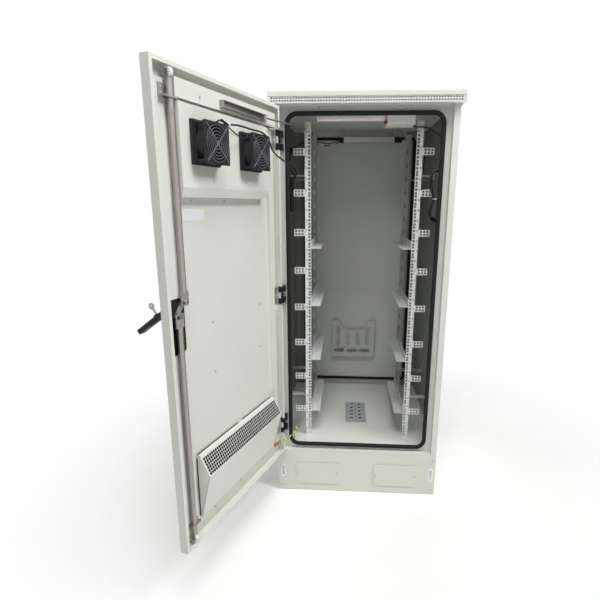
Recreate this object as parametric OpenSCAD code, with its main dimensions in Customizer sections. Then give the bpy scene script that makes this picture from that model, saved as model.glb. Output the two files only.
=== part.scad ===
// Roadside utility cabinet with an open door and a rack inside

/* [Cabinet] */
// width of the body
body_w = 750; // [700:1:800]
// depth of the body
body_d = 800; // [760:1:860]
// height over the roof
total_h = 1800; // [1780:1:1840]
// height of the plinth
plinth_h = 215; // [200:1:225]
// thickness of the panels
sheet = 2; // [1.5:0.1:2.5]
// width of the front columns
column_w = 25; // [22:1:28]
// depth of the recess the door sits in
recess = 30; // [28:1:34]

/* [Door] */
// opening angle of the door
door_open = 110; // [90:1:115]
// depth of the door over its edges
door_deep = 30; // [28:1:34]
// width of the turned in edge of the door
door_lip = 12; // [10:1:16]
// gap between the door and the columns
door_gap = 4; // [3:0.5:5]

/* [Rack] */
// distance between the hole columns of the rack
rack_pitch = 465.1; // [464:0.1:466]
// number of height units on the rails
rack_units = 32; // [28:1:32]
// face width of a rail
rail_w = 27; // [24:1:30]
// depth of the front rails behind the front plane
rail_at = 108; // [104:1:116]
// depth of the rear rails behind the front plane
rear_at = 500; // [460:1:520]

/* [Fit] */
// radial running clearance of the pins
run_gap = 0.05; // [0.03:0.01:0.08]
// gap between parts that pass each other
pass_gap = 1; // [0.5:0.1:2]

/* [Hidden] */
$fn = 32;
eps = 0.01;
half_w = body_w / 2;
front_y = -body_d / 2;
back_y = body_d / 2;
roof_low = total_h - 48;
body_top = total_h - 30;
floor_z = plinth_h + 25;
col_x = half_w - column_w;
wall_x = half_w - sheet;
frame_y = front_y + recess;
vent_top = roof_low + 26;
vent_cols = 34;
vent_pitch = half_w / (vent_cols + 0.5);
gasket_t = 15;
gasket_w = 18;
open_x = half_w - 65;
open_z0 = plinth_h + 32;
open_z1 = roof_low - 35;
open_r = 34;
hinge_x = -col_x - 4;
hinge_y = front_y - 10;
face_out = 12;
door_u0 = 8;
door_u1 = door_u0 + 2 * (col_x - door_gap);
door_z0 = plinth_h + 13;
door_z1 = roof_low - 8;
door_h = door_z1 - door_z0;
hinge_h = 75;
hinge_zs = [door_z0 + 127, door_z0 + 750, door_z1 - 124];
pin_r = 3;
knuckle_r = 6.5;
eye_h = 24;
hole_x = rack_pitch / 2;
rail_x0 = hole_x - 7.55;
rail_x1 = rail_x0 + rail_w;
rail_y = front_y + rail_at;
rear_y = front_y + rear_at;
rail_top = roof_low - 44;
unit = 44.45;
tab_top = roof_low - 165;
tab_low = floor_z + 139.5;
tab_pitch = (tab_top - tab_low) / 7;
tab_reach = 50;
bracket_zs = [tab_top - tab_pitch * 0.5 - 15, tab_top - tab_pitch * 6.5 - 15];
shelf_zs = [plinth_h + 157, plinth_h + 423.7, plinth_h + 690.4, plinth_h + 957.1];
hat_n = 12.2;
rod_n = 23.2;
rod_r = 10;
rod_gap = 0.4;
roller_r = 13;
roller_w = 12;
roller_in = 28;
roller_end = roller_in + roller_r + 3;
lock_u = door_u1 - 62;
hat_u0 = lock_u - 22;
hat_u1 = door_u1 - door_lip - 4;
lock_z = door_z0 + 828;
pin_u = 14;
pin_z = 19;
rod_travel = pin_u + pin_z;
rod_u_up = lock_u - pin_u;
rod_u_low = lock_u + pin_u;
fan_zc = door_z1 - 201;
box_n = 40;
fan_n0 = box_n + 12;
fan_n1 = fan_n0 + 38;
box_u0 = door_u0 + 116;
box_u1 = hat_u0 - 4;
box_z0 = door_z1 - 376;
box_z1 = door_z1 - 98;
fan_us = [box_u1 - 105, box_u0 + 131];
fan_s = 120;
stay_z = door_z1 - 67;
stiff_n = 30;
stay_n = stiff_n + 14;
stay_u0 = 133;
stay_u1 = 405;
stay_screw_at = 0.47805;
pivot_x = -open_x + 70.45;
pivot_y = rail_y - 10.5;
end_u = 145;
end_x = hinge_x + end_u * cos(door_open) + (stay_n - face_out) * sin(door_open);
end_y = hinge_y - end_u * sin(door_open) + (stay_n - face_out) * cos(door_open);
stay_len = sqrt(pow(end_x - pivot_x, 2) + pow(end_y - pivot_y, 2));
stay_dir = atan2(end_y - pivot_y, end_x - pivot_x);
cover_u0 = door_u0 + 74;
cover_u1 = hat_u0 - 12;
cover_z0 = door_z0 + 64;
cover_z1 = door_z0 + 294;
cover_zm = door_z0 + 252;
cover_n = 76;
cover_nt = 22;
cover_nb = 12;
filter_n = 8;
cover_fall = cover_z1 - cover_zm;
cover_out = cover_n - cover_nt;
cover_run = norm([cover_out, cover_fall]);
cover_slope = atan2(cover_fall, cover_out);
stud_u = door_u0 + 46;
stud_z = door_z0 + 50;
handle_n = -20;
handle_tilt = 55;
handle_len = 160;
gland_y = front_y + 365;
pocket_x0 = -144;
pocket_x1 = 120;
pocket_z0 = plinth_h + 206;
pocket_h = 234;
pocket_d = 30;
pocket_w = pocket_x1 - pocket_x0;
plinth_cover_x = body_w / 4 - 1.5;
hank_x = half_w - 57;
hank_r = 21;
hank_gap = 6.5;
hank_z0 = roof_low - 430;
hank_z1 = roof_low - 274;

paint = [0.86, 0.87, 0.84];
zinc = [0.80, 0.81, 0.80];
dark = [0.06, 0.06, 0.07];
steel = [0.62, 0.58, 0.54];
white = [0.95, 0.95, 0.93];
brass = [0.72, 0.45, 0.25];

// box between two corners
module span(x0, x1, y0, y1, z0, z1) {
  translate([x0, y0, z0])
    cube([x1 - x0, y1 - y0, z1 - z0]);
}

// rod along y
module rod_y(x, z, y0, y1, r) {
  translate([x, y0, z])
    rotate([-90, 0, 0])
      cylinder(r = r, h = y1 - y0);
}

// rod along x
module rod_x(y, z, x0, x1, r) {
  translate([x0, y, z])
    rotate([0, 90, 0])
      cylinder(r = r, h = x1 - x0);
}

// rod along z
module rod_z(x, y, z0, z1, r) {
  translate([x, y, z0])
    cylinder(r = r, h = z1 - z0);
}

// upright slab with round corners
module slab(x0, x1, z0, z1, r, y0, y1) {
  span(x0 + r, x1 - r, y0, y1, z0, z1);
  span(x0, x1, y0, y1, z0 + r, z1 - r);
  for (x = [x0 + r, x1 - r])
    for (z = [z0 + r, z1 - r])
      rod_y(x, z, y0, y1, r);
}

// slot with round ends, upright
module slot_z(x, z0, z1, r, y0, y1) {
  span(x - r, x + r, y0, y1, z0 + r, z1 - r);
  rod_y(x, z0 + r, y0, y1, r);
  rod_y(x, z1 - r, y0, y1, r);
}

// slot with round ends, level
module slot_x(x0, x1, z, r, y0, y1) {
  span(x0 + r, x1 - r, y0, y1, z - r, z + r);
  rod_y(x0 + r, z, y0, y1, r);
  rod_y(x1 - r, z, y0, y1, r);
}

// points on a smooth curve through a list, three to each span
function bend(a, b, c, d, t) = 0.5 * (2 * b + (c - a) * t + (2 * a - 5 * b + 4 * c - d) * t * t
  + (3 * b - a - 3 * c + d) * t * t * t);
function eased(p) = [
  for (i = [0:len(p) - 2])
    for (t = [0, 1 / 3, 2 / 3])
      bend(p[max(i - 1, 0)], p[i], p[i + 1], p[min(i + 2, len(p) - 1)], t),
  p[len(p) - 1]
];

// wire through a list of points
module wire_path(pts, r) {
  for (i = [0:len(pts) - 2])
    hull() {
      translate(pts[i])
        sphere(r = r, $fn = 8);
      translate(pts[i + 1])
        sphere(r = r, $fn = 8);
    }
}

// places a part drawn on the closed door: x along the door, y into the cabinet
module on_door() {
  translate([hinge_x, hinge_y, 0])
    rotate([0, 0, -door_open])
      translate([0, -face_out, 0])
        children();
}

function door_pt(u, n, z) = [
  hinge_x + u * cos(door_open) + (n - face_out) * sin(door_open),
  hinge_y - u * sin(door_open) + (n - face_out) * cos(door_open),
  z
];

module plinth_frame() {
  color(paint)
    difference() {
      span(-half_w, half_w, front_y + sheet, back_y, 0, plinth_h);
      span(-wall_x, wall_x, front_y + 2 * sheet, back_y - sheet, sheet + 1, plinth_h - sheet);
      span(-half_w + 60, half_w - 60, front_y + 60, back_y - 60, -1, 10);
      span(-half_w + 40, half_w - 40, front_y + 40, back_y - 6, plinth_h - 10, plinth_h + 1);
      span(-half_w + 70, half_w - 70, front_y, front_y + 3 * sheet, 32, plinth_h - 30);
      for (s = [-1, 1]) {
        slot_z(s * (half_w - 21), 74, 134, 7, front_y, front_y + 3 * sheet);
        for (t = [-1, 1])
          rod_z(s * (half_w - 30), t * (back_y - 36), -1, sheet + 2, 7);
      }
    }
}

module plinth_front_panel() {
  color(paint)
    difference() {
      span(-half_w, half_w, front_y, front_y + sheet, 4, plinth_h - 1);
      for (s = [-1, 1]) {
        slot_z(s * (half_w - 21), 74, 134, 7, front_y - 1, front_y + 3 * sheet);
        span(s * plinth_cover_x - 80, s * plinth_cover_x + 80, front_y - 1, front_y + sheet + 1, 55, 140);
      }
    }
}

module cable_cover(s) {
  color(paint) {
    span(s * plinth_cover_x - 102, s * plinth_cover_x + 102, front_y - 2 * sheet, front_y - sheet, 42, 153);
    span(s * plinth_cover_x - 79, s * plinth_cover_x + 79, front_y - sheet, front_y + sheet, 56, 139);
    for (t = [-1, 1])
      rod_y(s * plinth_cover_x + t * 94, 98, front_y - sheet, front_y, 6);
  }
}

module cable_covers() {
  cable_cover(-1);
  cable_cover(1);
}

module side_panel() {
  span(wall_x, half_w, front_y, back_y - sheet, plinth_h, body_top);
  span(col_x, half_w, front_y, front_y + sheet, plinth_h, body_top);
  span(col_x, col_x + sheet, front_y, frame_y + sheet, plinth_h, body_top);
  span(half_w - 32, half_w, back_y - 2 * sheet, back_y - sheet, plinth_h, body_top);
}

module left_side_panel() {
  color(paint)
    mirror([1, 0, 0])
      side_panel();
}

module right_side_panel() {
  color(paint)
    side_panel();
}

module back_panel() {
  color(paint)
    span(-half_w, half_w, back_y - sheet, back_y, plinth_h, body_top);
}

module front_frame() {
  color(paint) {
    difference() {
      span(-col_x, col_x, frame_y, frame_y + sheet, plinth_h, body_top);
      slab(-open_x, open_x, open_z0, open_z1, open_r, frame_y - 1, frame_y + sheet + 1);
    }
    difference() {
      slab(-open_x - sheet, open_x + sheet, open_z0 - sheet, open_z1 + sheet, open_r + sheet,
        frame_y - 8, frame_y + sheet);
      slab(-open_x, open_x, open_z0, open_z1, open_r, frame_y - 9, frame_y + sheet + 1);
    }
    span(-col_x, col_x, front_y, frame_y + sheet, plinth_h, plinth_h + sheet);
  }
}

module door_gasket() {
  color(dark)
    difference() {
      slab(-open_x - gasket_w + 2, open_x + gasket_w - 2, open_z0 - gasket_w + 2, open_z1 + gasket_w - 2,
        open_r + gasket_w - 2, frame_y - gasket_t, frame_y);
      slab(-open_x + 2, open_x - 2, open_z0 + 2, open_z1 - 2, open_r - 2, frame_y - gasket_t - 1, frame_y + 1);
      difference() {
        slab(-open_x - sheet, open_x + sheet, open_z0 - sheet, open_z1 + sheet, open_r + sheet,
          frame_y - 8, frame_y + 1);
        slab(-open_x, open_x, open_z0, open_z1, open_r, frame_y - 9, frame_y + 2);
      }
    }
}

module top_panel() {
  color(paint)
    span(-wall_x, wall_x, frame_y + sheet, back_y - 2 * sheet, body_top - sheet, body_top);
}

module roof_block(inset, z0, z1) {
  hull() {
    span(-half_w - 10 + inset, half_w + 10 - inset, front_y - 35 + inset, back_y + 10 - inset, z0, z1 - 5);
    span(-half_w - 6 + inset, half_w + 6 - inset, front_y - 31 + inset, back_y + 6 - inset, z0, z1);
  }
}

module roof_cap() {
  color(paint)
    difference() {
      roof_block(0, roof_low, total_h);
      roof_block(sheet, roof_low - 1, total_h - sheet);
      span(-half_w - 10 + sheet, half_w + 10 - sheet, front_y - 36, front_y - 30, roof_low - 1, vent_top);
    }
}

module roof_vent_strip() {
  vent_x = half_w + 10 - sheet;
  color(paint)
    difference() {
      union() {
        span(-vent_x, vent_x, front_y - 35 + sheet, frame_y, roof_low, roof_low + sheet);
        span(-vent_x, vent_x, front_y - 35 + sheet, front_y - 35 + 2 * sheet, roof_low, vent_top + 8);
      }
      for (s = [-1, 1])
        span(s * (half_w + 5) - column_w - 5, s * (half_w + 5) + column_w + 5, front_y, frame_y + 1,
          roof_low - 1, roof_low + sheet + 1);
      for (i = [-vent_cols:vent_cols])
        for (z = [roof_low + 6, roof_low + 16])
          span(i * vent_pitch - 3, i * vent_pitch + 3, front_y - 36, front_y - 28, z, z + 6);
    }
}

module roof_spacers() {
  color(zinc)
    for (s = [-1, 1])
      for (t = [-1, 1])
        rod_z(s * (half_w - 80), t * (back_y - 90), body_top, total_h - sheet, 14);
}

module floor_panel() {
  color(paint)
    difference() {
      span(-wall_x, wall_x, frame_y + sheet, back_y - 45, floor_z - sheet, floor_z);
      span(-45, 45, gland_y - 105, gland_y + 105, floor_z - 3 * sheet, floor_z + 1);
    }
}

module gland_plate() {
  color(paint)
    difference() {
      span(-55, 55, gland_y - 118, gland_y + 118, floor_z, floor_z + sheet);
      for (s = [-1, 1])
        for (i = [-2:2])
          rod_z(s * 21, gland_y + i * 41, floor_z - 1, floor_z + sheet + 1, 13);
    }
}

module cable_glands() {
  color(white)
    for (s = [-1, 1])
      for (i = [-2:2])
        translate([s * 21, gland_y + i * 41, floor_z + sheet])
          difference() {
            union() {
              cylinder(r = 18, h = 4);
              translate([0, 0, -sheet - 5])
                cylinder(r = 12.8, h = sheet + 5);
              cylinder(r = 15, h = 7);
            }
            translate([0, 0, -20])
              cylinder(r = 10.5, h = 40);
          }
}

// rail face with the square and round hole columns
module rail_face() {
  difference() {
    translate([rail_x0, floor_z])
      square([rail_w, rail_top - floor_z]);
    for (i = [0:rack_units - 1])
      for (d = [6.35, 22.225, 38.1])
        translate([hole_x - 4.75, floor_z + 12 + i * unit + d - 4.75])
          square([9.5, 9.5]);
    for (i = [0:rack_units - 1])
      translate([rail_x1 - 8.5, floor_z + 12 + i * unit + 18])
        square([5, 9]);
  }
}

module front_rail() {
  translate([0, rail_y + sheet, 0])
    rotate([90, 0, 0])
      linear_extrude(sheet)
        rail_face();
  span(rail_x1 - sheet, rail_x1, rail_y, rail_y + 42, floor_z, rail_top);
}

module front_rail_left() {
  color(zinc)
    mirror([1, 0, 0])
      front_rail();
}

module front_rail_right() {
  color(zinc)
    front_rail();
}

module rear_rail() {
  holes = 21;
  hole_pitch = (rail_top - floor_z - 67.3) / holes;
  difference() {
    span(rail_x0, rail_x1, rear_y - sheet, rear_y, floor_z, rail_top);
    for (i = [0:holes - 1])
      span(hole_x + 1, hole_x + 9, rear_y - sheet - 1, rear_y + 1, floor_z + 40 + i * hole_pitch,
        floor_z + 64 + i * hole_pitch);
  }
  span(rail_x1 - sheet, rail_x1, rear_y - 42, rear_y, floor_z, rail_top);
}

module rear_rails() {
  color(zinc) {
    rear_rail();
    mirror([1, 0, 0])
      rear_rail();
  }
}

// seal round the back panel, seen between the rails and the walls
module rear_gasket() {
  color(dark)
    difference() {
      slab(-open_x - 12, open_x + 12, plinth_h + 45, roof_low - 14, 30, back_y - sheet - 10, back_y - sheet);
      slab(-open_x + 3, open_x - 3, plinth_h + 60, roof_low - 29, 15, back_y - sheet - 11, back_y);
    }
}

module rail_brackets() {
  color(zinc)
    for (s = [0, 1])
      mirror([s, 0, 0])
        for (y = [rail_y + 4, rear_y - 40])
          for (z = bracket_zs) {
            span(rail_x1, wall_x, y, y + 34, z, z + 3);
            span(wall_x - 3, wall_x, y, y + 34, z, z + 30);
            span(rail_x1, rail_x1 + 3, y, y + 34, z, z + 30);
          }
}

module lacing_tabs(s) {
  color(zinc)
    for (i = [0:7])
      translate([0, rail_y, tab_top - i * tab_pitch])
        difference() {
          union() {
            span(s > 0 ? rail_x1 : -rail_x1 - tab_reach, s > 0 ? rail_x1 + tab_reach : -rail_x1,
              4, 4 + sheet, -15, 15);
            span(s > 0 ? rail_x1 : -rail_x1 - sheet, s > 0 ? rail_x1 + sheet : -rail_x1, 4, 28, -15, 15);
          }
          for (j = [0:2])
            for (k = [-1, 1])
              span(s * (rail_x1 + 12.5 + j * 14) - 4.5, s * (rail_x1 + 12.5 + j * 14) + 4.5, 3, 5 + sheet,
                k * 6.8 - 4.5, k * 6.8 + 4.5);
        }
}

module lacing_tabs_left() {
  lacing_tabs(-1);
}

module lacing_tabs_right() {
  lacing_tabs(1);
}

module shelf_rails() {
  for (z = shelf_zs) {
    span(rail_x0 - 43, rail_x0, rail_y, rear_y, z - sheet, z);
    span(rail_x0 - sheet, rail_x0, rail_y, rear_y, z - sheet, z + 34);
  }
}

module shelf_rails_left() {
  color(zinc)
    mirror([1, 0, 0])
      shelf_rails();
}

module shelf_rails_right() {
  color(zinc)
    shelf_rails();
}

module document_pocket() {
  face_y = back_y - sheet - pocket_d;
  color(zinc)
    difference() {
      span(pocket_x0, pocket_x1, face_y, back_y - sheet, pocket_z0, pocket_z0 + pocket_h);
      span(pocket_x0 + 1.5, pocket_x1 - 1.5, face_y + 1.5, back_y, pocket_z0 + 1.5, pocket_z0 + pocket_h + 1);
      translate([pocket_x0, face_y + 3, pocket_z0])
        rotate([90, 0, 0])
          linear_extrude(5)
            polygon([[36, pocket_h + 1], [74, pocket_h - 57], [pocket_w - 74, pocket_h - 57],
              [pocket_w - 36, pocket_h + 1]]);
      for (x = [36, pocket_w - 44])
        slot_z(pocket_x0 + x, pocket_z0 + 76, pocket_z0 + 196, 11, face_y - 1, face_y + 3);
      for (x = [pocket_w * 0.37, pocket_w * 0.6])
        slot_z(pocket_x0 + x, pocket_z0 + 76, pocket_z0 + 158, 12, face_y - 1, face_y + 3);
      for (i = [0:2])
        slot_x(pocket_x0 + 12 + i * 80, pocket_x0 + 76 + i * 80, pocket_z0 + 42, 13, face_y - 1, face_y + 3);
    }
}

module lamp_housing() {
  color(white)
    span(-196, 86, front_y + 58, front_y + 92, roof_low - 27, body_top - sheet);
}

module lamp_tube() {
  color([1, 0.92, 0.92])
    union() {
      rod_x(front_y + 75, roof_low - 38, -190, 80, 11);
      span(-196, -190, front_y + 62, front_y + 88, roof_low - 51, roof_low - 27);
      span(80, 86, front_y + 62, front_y + 88, roof_low - 51, roof_low - 27);
    }
}

module driver_box() {
  color(white)
    span(93, 209, front_y + 60, front_y + 160, roof_low - 63, body_top - sheet);
}

module rear_bar() {
  color(zinc) {
    span(-83, 184, back_y - 100, back_y - 62, roof_low - 53, roof_low - 24);
    for (x = [-89, 184])
      span(x, x + 6, back_y - 104, back_y - 58, roof_low - 57, body_top - sheet);
  }
}

module terminal_box() {
  color(dark)
    span(-wall_x, -wall_x + 46, front_y + 200, front_y + 330, roof_low - 420, roof_low - 250);
}

// fixed hinge block with two eyes
module hinge_block(z) {
  difference() {
    union() {
      for (dz = [-hinge_h / 2, hinge_h / 2 - eye_h]) {
        rod_z(hinge_x, hinge_y, z + dz, z + dz + eye_h, knuckle_r);
        span(hinge_x, hinge_x + 9, hinge_y - knuckle_r, front_y + 10, z + dz, z + dz + eye_h);
        span(-col_x, -col_x + 18, front_y + 6, frame_y, z + dz, z + dz + eye_h);
      }
      span(-col_x, -col_x + 4, front_y + 6, frame_y, z - hinge_h / 2, z + hinge_h / 2);
    }
    rod_z(hinge_x, hinge_y, z - hinge_h, z + hinge_h, pin_r);
    span(-half_w, -col_x, front_y, front_y + 40, z - hinge_h, z + hinge_h);
  }
}

module hinge_blocks() {
  color(dark)
    for (z = hinge_zs)
      hinge_block(z);
}

module hinge_pins() {
  color(steel)
    for (z = hinge_zs) {
      rod_z(hinge_x, hinge_y, z - hinge_h / 2, z + hinge_h / 2 + 3, pin_r);
      rod_z(hinge_x, hinge_y, z + hinge_h / 2, z + hinge_h / 2 + 3, pin_r + 1.5);
    }
}

module stay_bracket() {
  color(steel) {
    span(min(-rail_x1, pivot_x - 9), max(-rail_x0, pivot_x + 9), rail_y - 2, rail_y,
      stay_z - 16, stay_z + 16);
    difference() {
      span(pivot_x - 9, pivot_x + 9, pivot_y - 9, rail_y, stay_z - 8, stay_z - 5);
      rod_z(pivot_x, pivot_y, stay_z - 20, stay_z + 20, 3);
    }
    rod_z(pivot_x, pivot_y, stay_z - 10, stay_z + 6, 3);
    rod_z(pivot_x, pivot_y, stay_z + 6, stay_z + 8, 5.5);
  }
}

module stay_rod() {
  color(steel)
    translate([pivot_x, pivot_y, stay_z])
      rotate([0, 0, stay_dir])
        difference() {
          union() {
            rod_z(0, 0, -4.5, 5.5, 7);
            rod_x(0, 0, 3, stay_len, 3.5);
            translate([stay_len, 0, -6])
              cylinder(r = 5, h = 12);
          }
          rod_z(0, 0, -10, 10, 3 + run_gap);
        }
}

module body_screws() {
  color(zinc) {
    for (s = [-1, 1]) {
      for (t = [-1, 1])
        rod_y(s * plinth_cover_x + t * 94, 98, front_y - 2 * sheet - 2.5, front_y - 2 * sheet, 4);
      rod_y(s * plinth_cover_x, roof_low - 5, frame_y - 2.5, frame_y, 4);
      for (z = [28, plinth_h - 32])
        rod_y(s * (half_w - 16), z, front_y - 2.5, front_y, 4);
      rod_z(s * 49, gland_y - 112, floor_z + sheet, floor_z + sheet + 2.5, 3);
      rod_z(s * 49, gland_y + 112, floor_z + sheet, floor_z + sheet + 2.5, 3);
    }
    for (x = [-118, 94])
      rod_y(x, floor_z + 40, back_y - sheet - 3, back_y - sheet, 4);
  }
}

module door_shell() {
  color(paint)
    on_door()
      difference() {
        union() {
          span(door_u0, door_u1, 0, sheet, door_z0, door_z1);
          difference() {
            span(door_u0, door_u1, 0, door_deep, door_z0, door_z1);
            span(door_u0 + sheet, door_u1 - sheet, -1, door_deep - sheet, door_z0 + sheet, door_z1 - sheet);
            span(door_u0 + door_lip, door_u1 - door_lip, 0, door_deep + 1,
              door_z0 + door_lip, door_z1 - door_lip);
          }
        }
        for (z = hinge_zs)
          span(-5, door_u0 + door_lip + 1, sheet, door_deep + 1, z - hinge_h / 2 - 5, z + hinge_h / 2 + 5);
        rod_y(lock_u, lock_z, -1, sheet + 1, 8 + run_gap);
        for (i = [0:9])
          for (c = fan_us)
            span(c - 50, c + 50, -1, sheet + 1, fan_zc - 52 + i * 11, fan_zc - 47 + i * 11);
        for (i = [0:9])
          for (j = [0:3])
            span(cover_u0 + 40 + j * 120, cover_u0 + 145 + j * 120, -1, sheet + 1,
              door_z0 + 80 + i * 15, door_z0 + 86 + i * 15);
      }
}

// hat section along z
module hat_z(u0, u1, z0, z1, n) {
  difference() {
    span(u0, u1, sheet, n, z0, z1);
    span(u0 + sheet, u1 - sheet, sheet - 1, n - sheet, z0 - 1, z1 + 1);
  }
}

// gap in a stiffener that a roller runs through when the rods draw back
module roller_relief(u, z0, z1) {
  span(u - roller_w / 2 - 2, u + roller_w / 2 + 2, hat_n - sheet - 1, hat_n + 1, z0, z1);
}
module door_stiffeners() {
  color(paint)
    on_door() {
      difference() {
        union() {
          hat_z(hat_u0, hat_u1, lock_z + 34, door_z1 - roller_end, hat_n);
          hat_z(hat_u0, hat_u1, door_z0 + roller_end, lock_z - 144, hat_n);
        }
        roller_relief(rod_u_up, door_z1 - roller_end - rod_travel, door_z1);
        roller_relief(rod_u_low, door_z0, door_z0 + roller_end + rod_travel);
      }
      hat_z(door_u0 + 38, door_u0 + 68, cover_z1 + 30, stay_z - 24, hat_n);
      difference() {
        span(door_u0 + 38, box_u1 - 2, sheet, stiff_n, stay_z - 20, stay_z + 32);
        span(door_u0 + 38 + sheet, box_u1 - 2 - sheet, sheet - 1, stiff_n - sheet,
          stay_z - 21, stay_z + 30);
      }
    }
}

module hinge_leaves() {
  color(zinc)
    on_door()
      for (z = hinge_zs)
        difference() {
          union() {
            rod_z(0, face_out, z - hinge_h / 2 + eye_h + 0.5, z + hinge_h / 2 - eye_h - 0.5, knuckle_r);
            span(0, 16, sheet, 8, z - 12, z + 12);
            span(0, knuckle_r, sheet, face_out, z - 12, z + 12);
            span(10, 40, sheet, 5, z - 36, z + 36);
          }
          rod_z(0, face_out, z - hinge_h, z + hinge_h, pin_r + run_gap);
          span(-30, door_u0 + 2, -10, sheet + 1, z - hinge_h, z - 12.5);
        }
}

module fan_box() {
  color(paint)
    on_door()
      difference() {
        translate([box_u0, 0, 0])
          rotate([90, 0, 90])
            linear_extrude(box_u1 - box_u0)
              polygon([[sheet, box_z0], [2 * sheet, box_z0], [2 * sheet, box_z0 + 18], [box_n, box_z0 + 46],
                [box_n, box_z1], [sheet, box_z1]]);
        translate([box_u0 + sheet, 0, 0])
          rotate([90, 0, 90])
            linear_extrude(box_u1 - box_u0 - 2 * sheet)
              polygon([[sheet - 1, box_z0 + 20], [2 * sheet, box_z0 + 20 + sheet], [box_n - sheet, box_z0 + 47],
                [box_n - sheet, box_z1 - sheet], [sheet - 1, box_z1 - sheet]]);
        for (c = fan_us)
          rod_y(c, fan_zc, 0, box_n + 1, 56);
      }
}

module fan_frames() {
  half = fan_s / 2;
  color(dark)
    on_door()
      for (c = fan_us)
        difference() {
          union() {
            span(c - half - 3, c + half + 3, box_n, fan_n0, fan_zc - half - 3, fan_zc + half + 3);
            slab(c - half, c + half, fan_zc - half, fan_zc + half, 6, fan_n0, fan_n0 + 6);
            slab(c - half, c + half, fan_zc - half, fan_zc + half, 6, fan_n1 - 6, fan_n1);
            rod_y(c, fan_zc, fan_n0, fan_n1, half - 0.5);
            for (a = [-1, 1])
              for (b = [-1, 1])
                rod_y(c + a * (half - 7.5), fan_zc + b * (half - 7.5), fan_n0, fan_n1, 5);
          }
          rod_y(c, fan_zc, box_n - 1, fan_n1 + 1, half - 3);
        }
  color(dark)
    on_door()
      for (c = fan_us) {
        rod_y(c, fan_zc, box_n, box_n + 8, 20);
        for (a = [0:3])
          translate([c, box_n + 1, fan_zc])
            rotate([0, 45 + a * 90, 0])
              translate([18, 0, -3])
                cube([41, 5, 6]);
        rod_y(c, fan_zc, box_n + 8, box_n + 20, 4);
      }
}

module fan_rotor(c) {
  color(dark)
    on_door()
      translate([c, box_n + 9, fan_zc])
        difference() {
          union() {
            rod_y(0, 0, 0, 32, 21);
            for (a = [0:6])
              rotate([0, a * 360 / 7, 0])
                translate([18, 14, 0])
                  rotate([38, 0, 0])
                    translate([0, -1, -12])
                      cube([36, 2, 24]);
          }
          rod_y(0, 0, -1, 12, 4 + run_gap);
        }
}

module fan_rotor_left() {
  fan_rotor(fan_us[0]);
}

module fan_rotor_right() {
  fan_rotor(fan_us[1]);
}

module fan_guards() {
  color(dark)
    on_door()
      for (c = fan_us)
        translate([c, fan_n1, fan_zc]) {
          for (r = [16, 25, 34, 43, 52])
            rotate([-90, 0, 0])
              rotate_extrude($fn = 48)
                translate([r, 0])
                  square([2, 2.5]);
          rod_y(0, 0, 0, 2.5, 8);
          for (a = [0:3])
            rotate([0, 45 + a * 90, 0])
              translate([6, 0, -1.5])
                cube([68, 3, 3]);
        }
}

module filter_cover() {
  color(paint)
    on_door() {
      difference() {
        translate([cover_u0, 0, 0])
          rotate([90, 0, 90])
            linear_extrude(cover_u1 - cover_u0)
              polygon([[sheet, cover_z0], [cover_nb, cover_z0], [cover_n, cover_zm], [cover_nt, cover_z1],
                [sheet, cover_z1]]);
        translate([cover_u0 + sheet, 0, 0])
          rotate([90, 0, 90])
            linear_extrude(cover_u1 - cover_u0 - 2 * sheet)
              polygon([[sheet - 1, cover_z0 + sheet], [cover_nb - 1, cover_z0 + sheet],
                [cover_n - sheet * cover_run / cover_fall, cover_zm],
                [cover_nt - sheet * (cover_run - cover_out) / cover_fall, cover_z1 - sheet],
                [sheet - 1, cover_z1 - sheet]]);
        span(cover_u0 + sheet, cover_u1 - sheet, sheet - 1, filter_n + 1, cover_z1 - 5, cover_z1 + 1);
        translate([cover_u0 + 14, 0, 0])
          rotate([90, 0, 90])
            linear_extrude(cover_u1 - cover_u0 - 28)
              polygon([[cover_nt - 8, cover_z1 - 30], [cover_n - 24, cover_zm + 7],
                [cover_n + 10, cover_zm + 7], [cover_n + 10, cover_z1 - 6], [cover_nt + 5, cover_z1 - 6]]);
      }
      span(cover_u0, cover_u1, sheet, 2 * sheet, cover_z0 - 28, cover_z0 + 1);
      slab((cover_u0 + cover_u1) / 2 - 14, (cover_u0 + cover_u1) / 2 + 14, cover_z1 - 8, cover_z1 + 11, 5,
        filter_n + 2.5, filter_n + 4.5);
    }
}

module filter_grille() {
  cols = 46;
  rows = 5;
  top = 6 / sin(cover_slope);
  pitch = (cover_u1 - cover_u0 - 40) / cols;
  row_pitch = (cover_run - top - 7 / sin(cover_slope) - 1) / rows;
  color(paint)
    on_door()
      translate([cover_u0 + 3, cover_nt, cover_z1])
        rotate([-cover_slope, 0, 0])
          translate([0, 6, -sheet - 1.25])
            linear_extrude(1.2)
              difference() {
                square([cover_u1 - cover_u0 - 6, cover_run - 10]);
                for (i = [0:cols - 1])
                  for (j = [0:rows - 1])
                    translate([17 + (i + 0.16) * pitch, top - 5.5 + (j + 0.16) * row_pitch])
                      square([pitch * 0.68, row_pitch * 0.68]);
              }
}

module dust_filter() {
  color([0.35, 0.36, 0.38])
    on_door()
      span(cover_u0 + 8, cover_u1 - 8, sheet + 0.5, filter_n, cover_z0 + 4, cover_z1 - 1);
}

module stay_channel() {
  color(steel)
    on_door()
      difference() {
        span(stay_u0, stay_u1, stiff_n, stiff_n + 17, stay_z - 11, stay_z + 11);
        span(stay_u0 - 1, stay_u1 - 2, stiff_n + 1.5, stiff_n + 18, stay_z - 9, stay_z + 9);
      }
}

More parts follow.
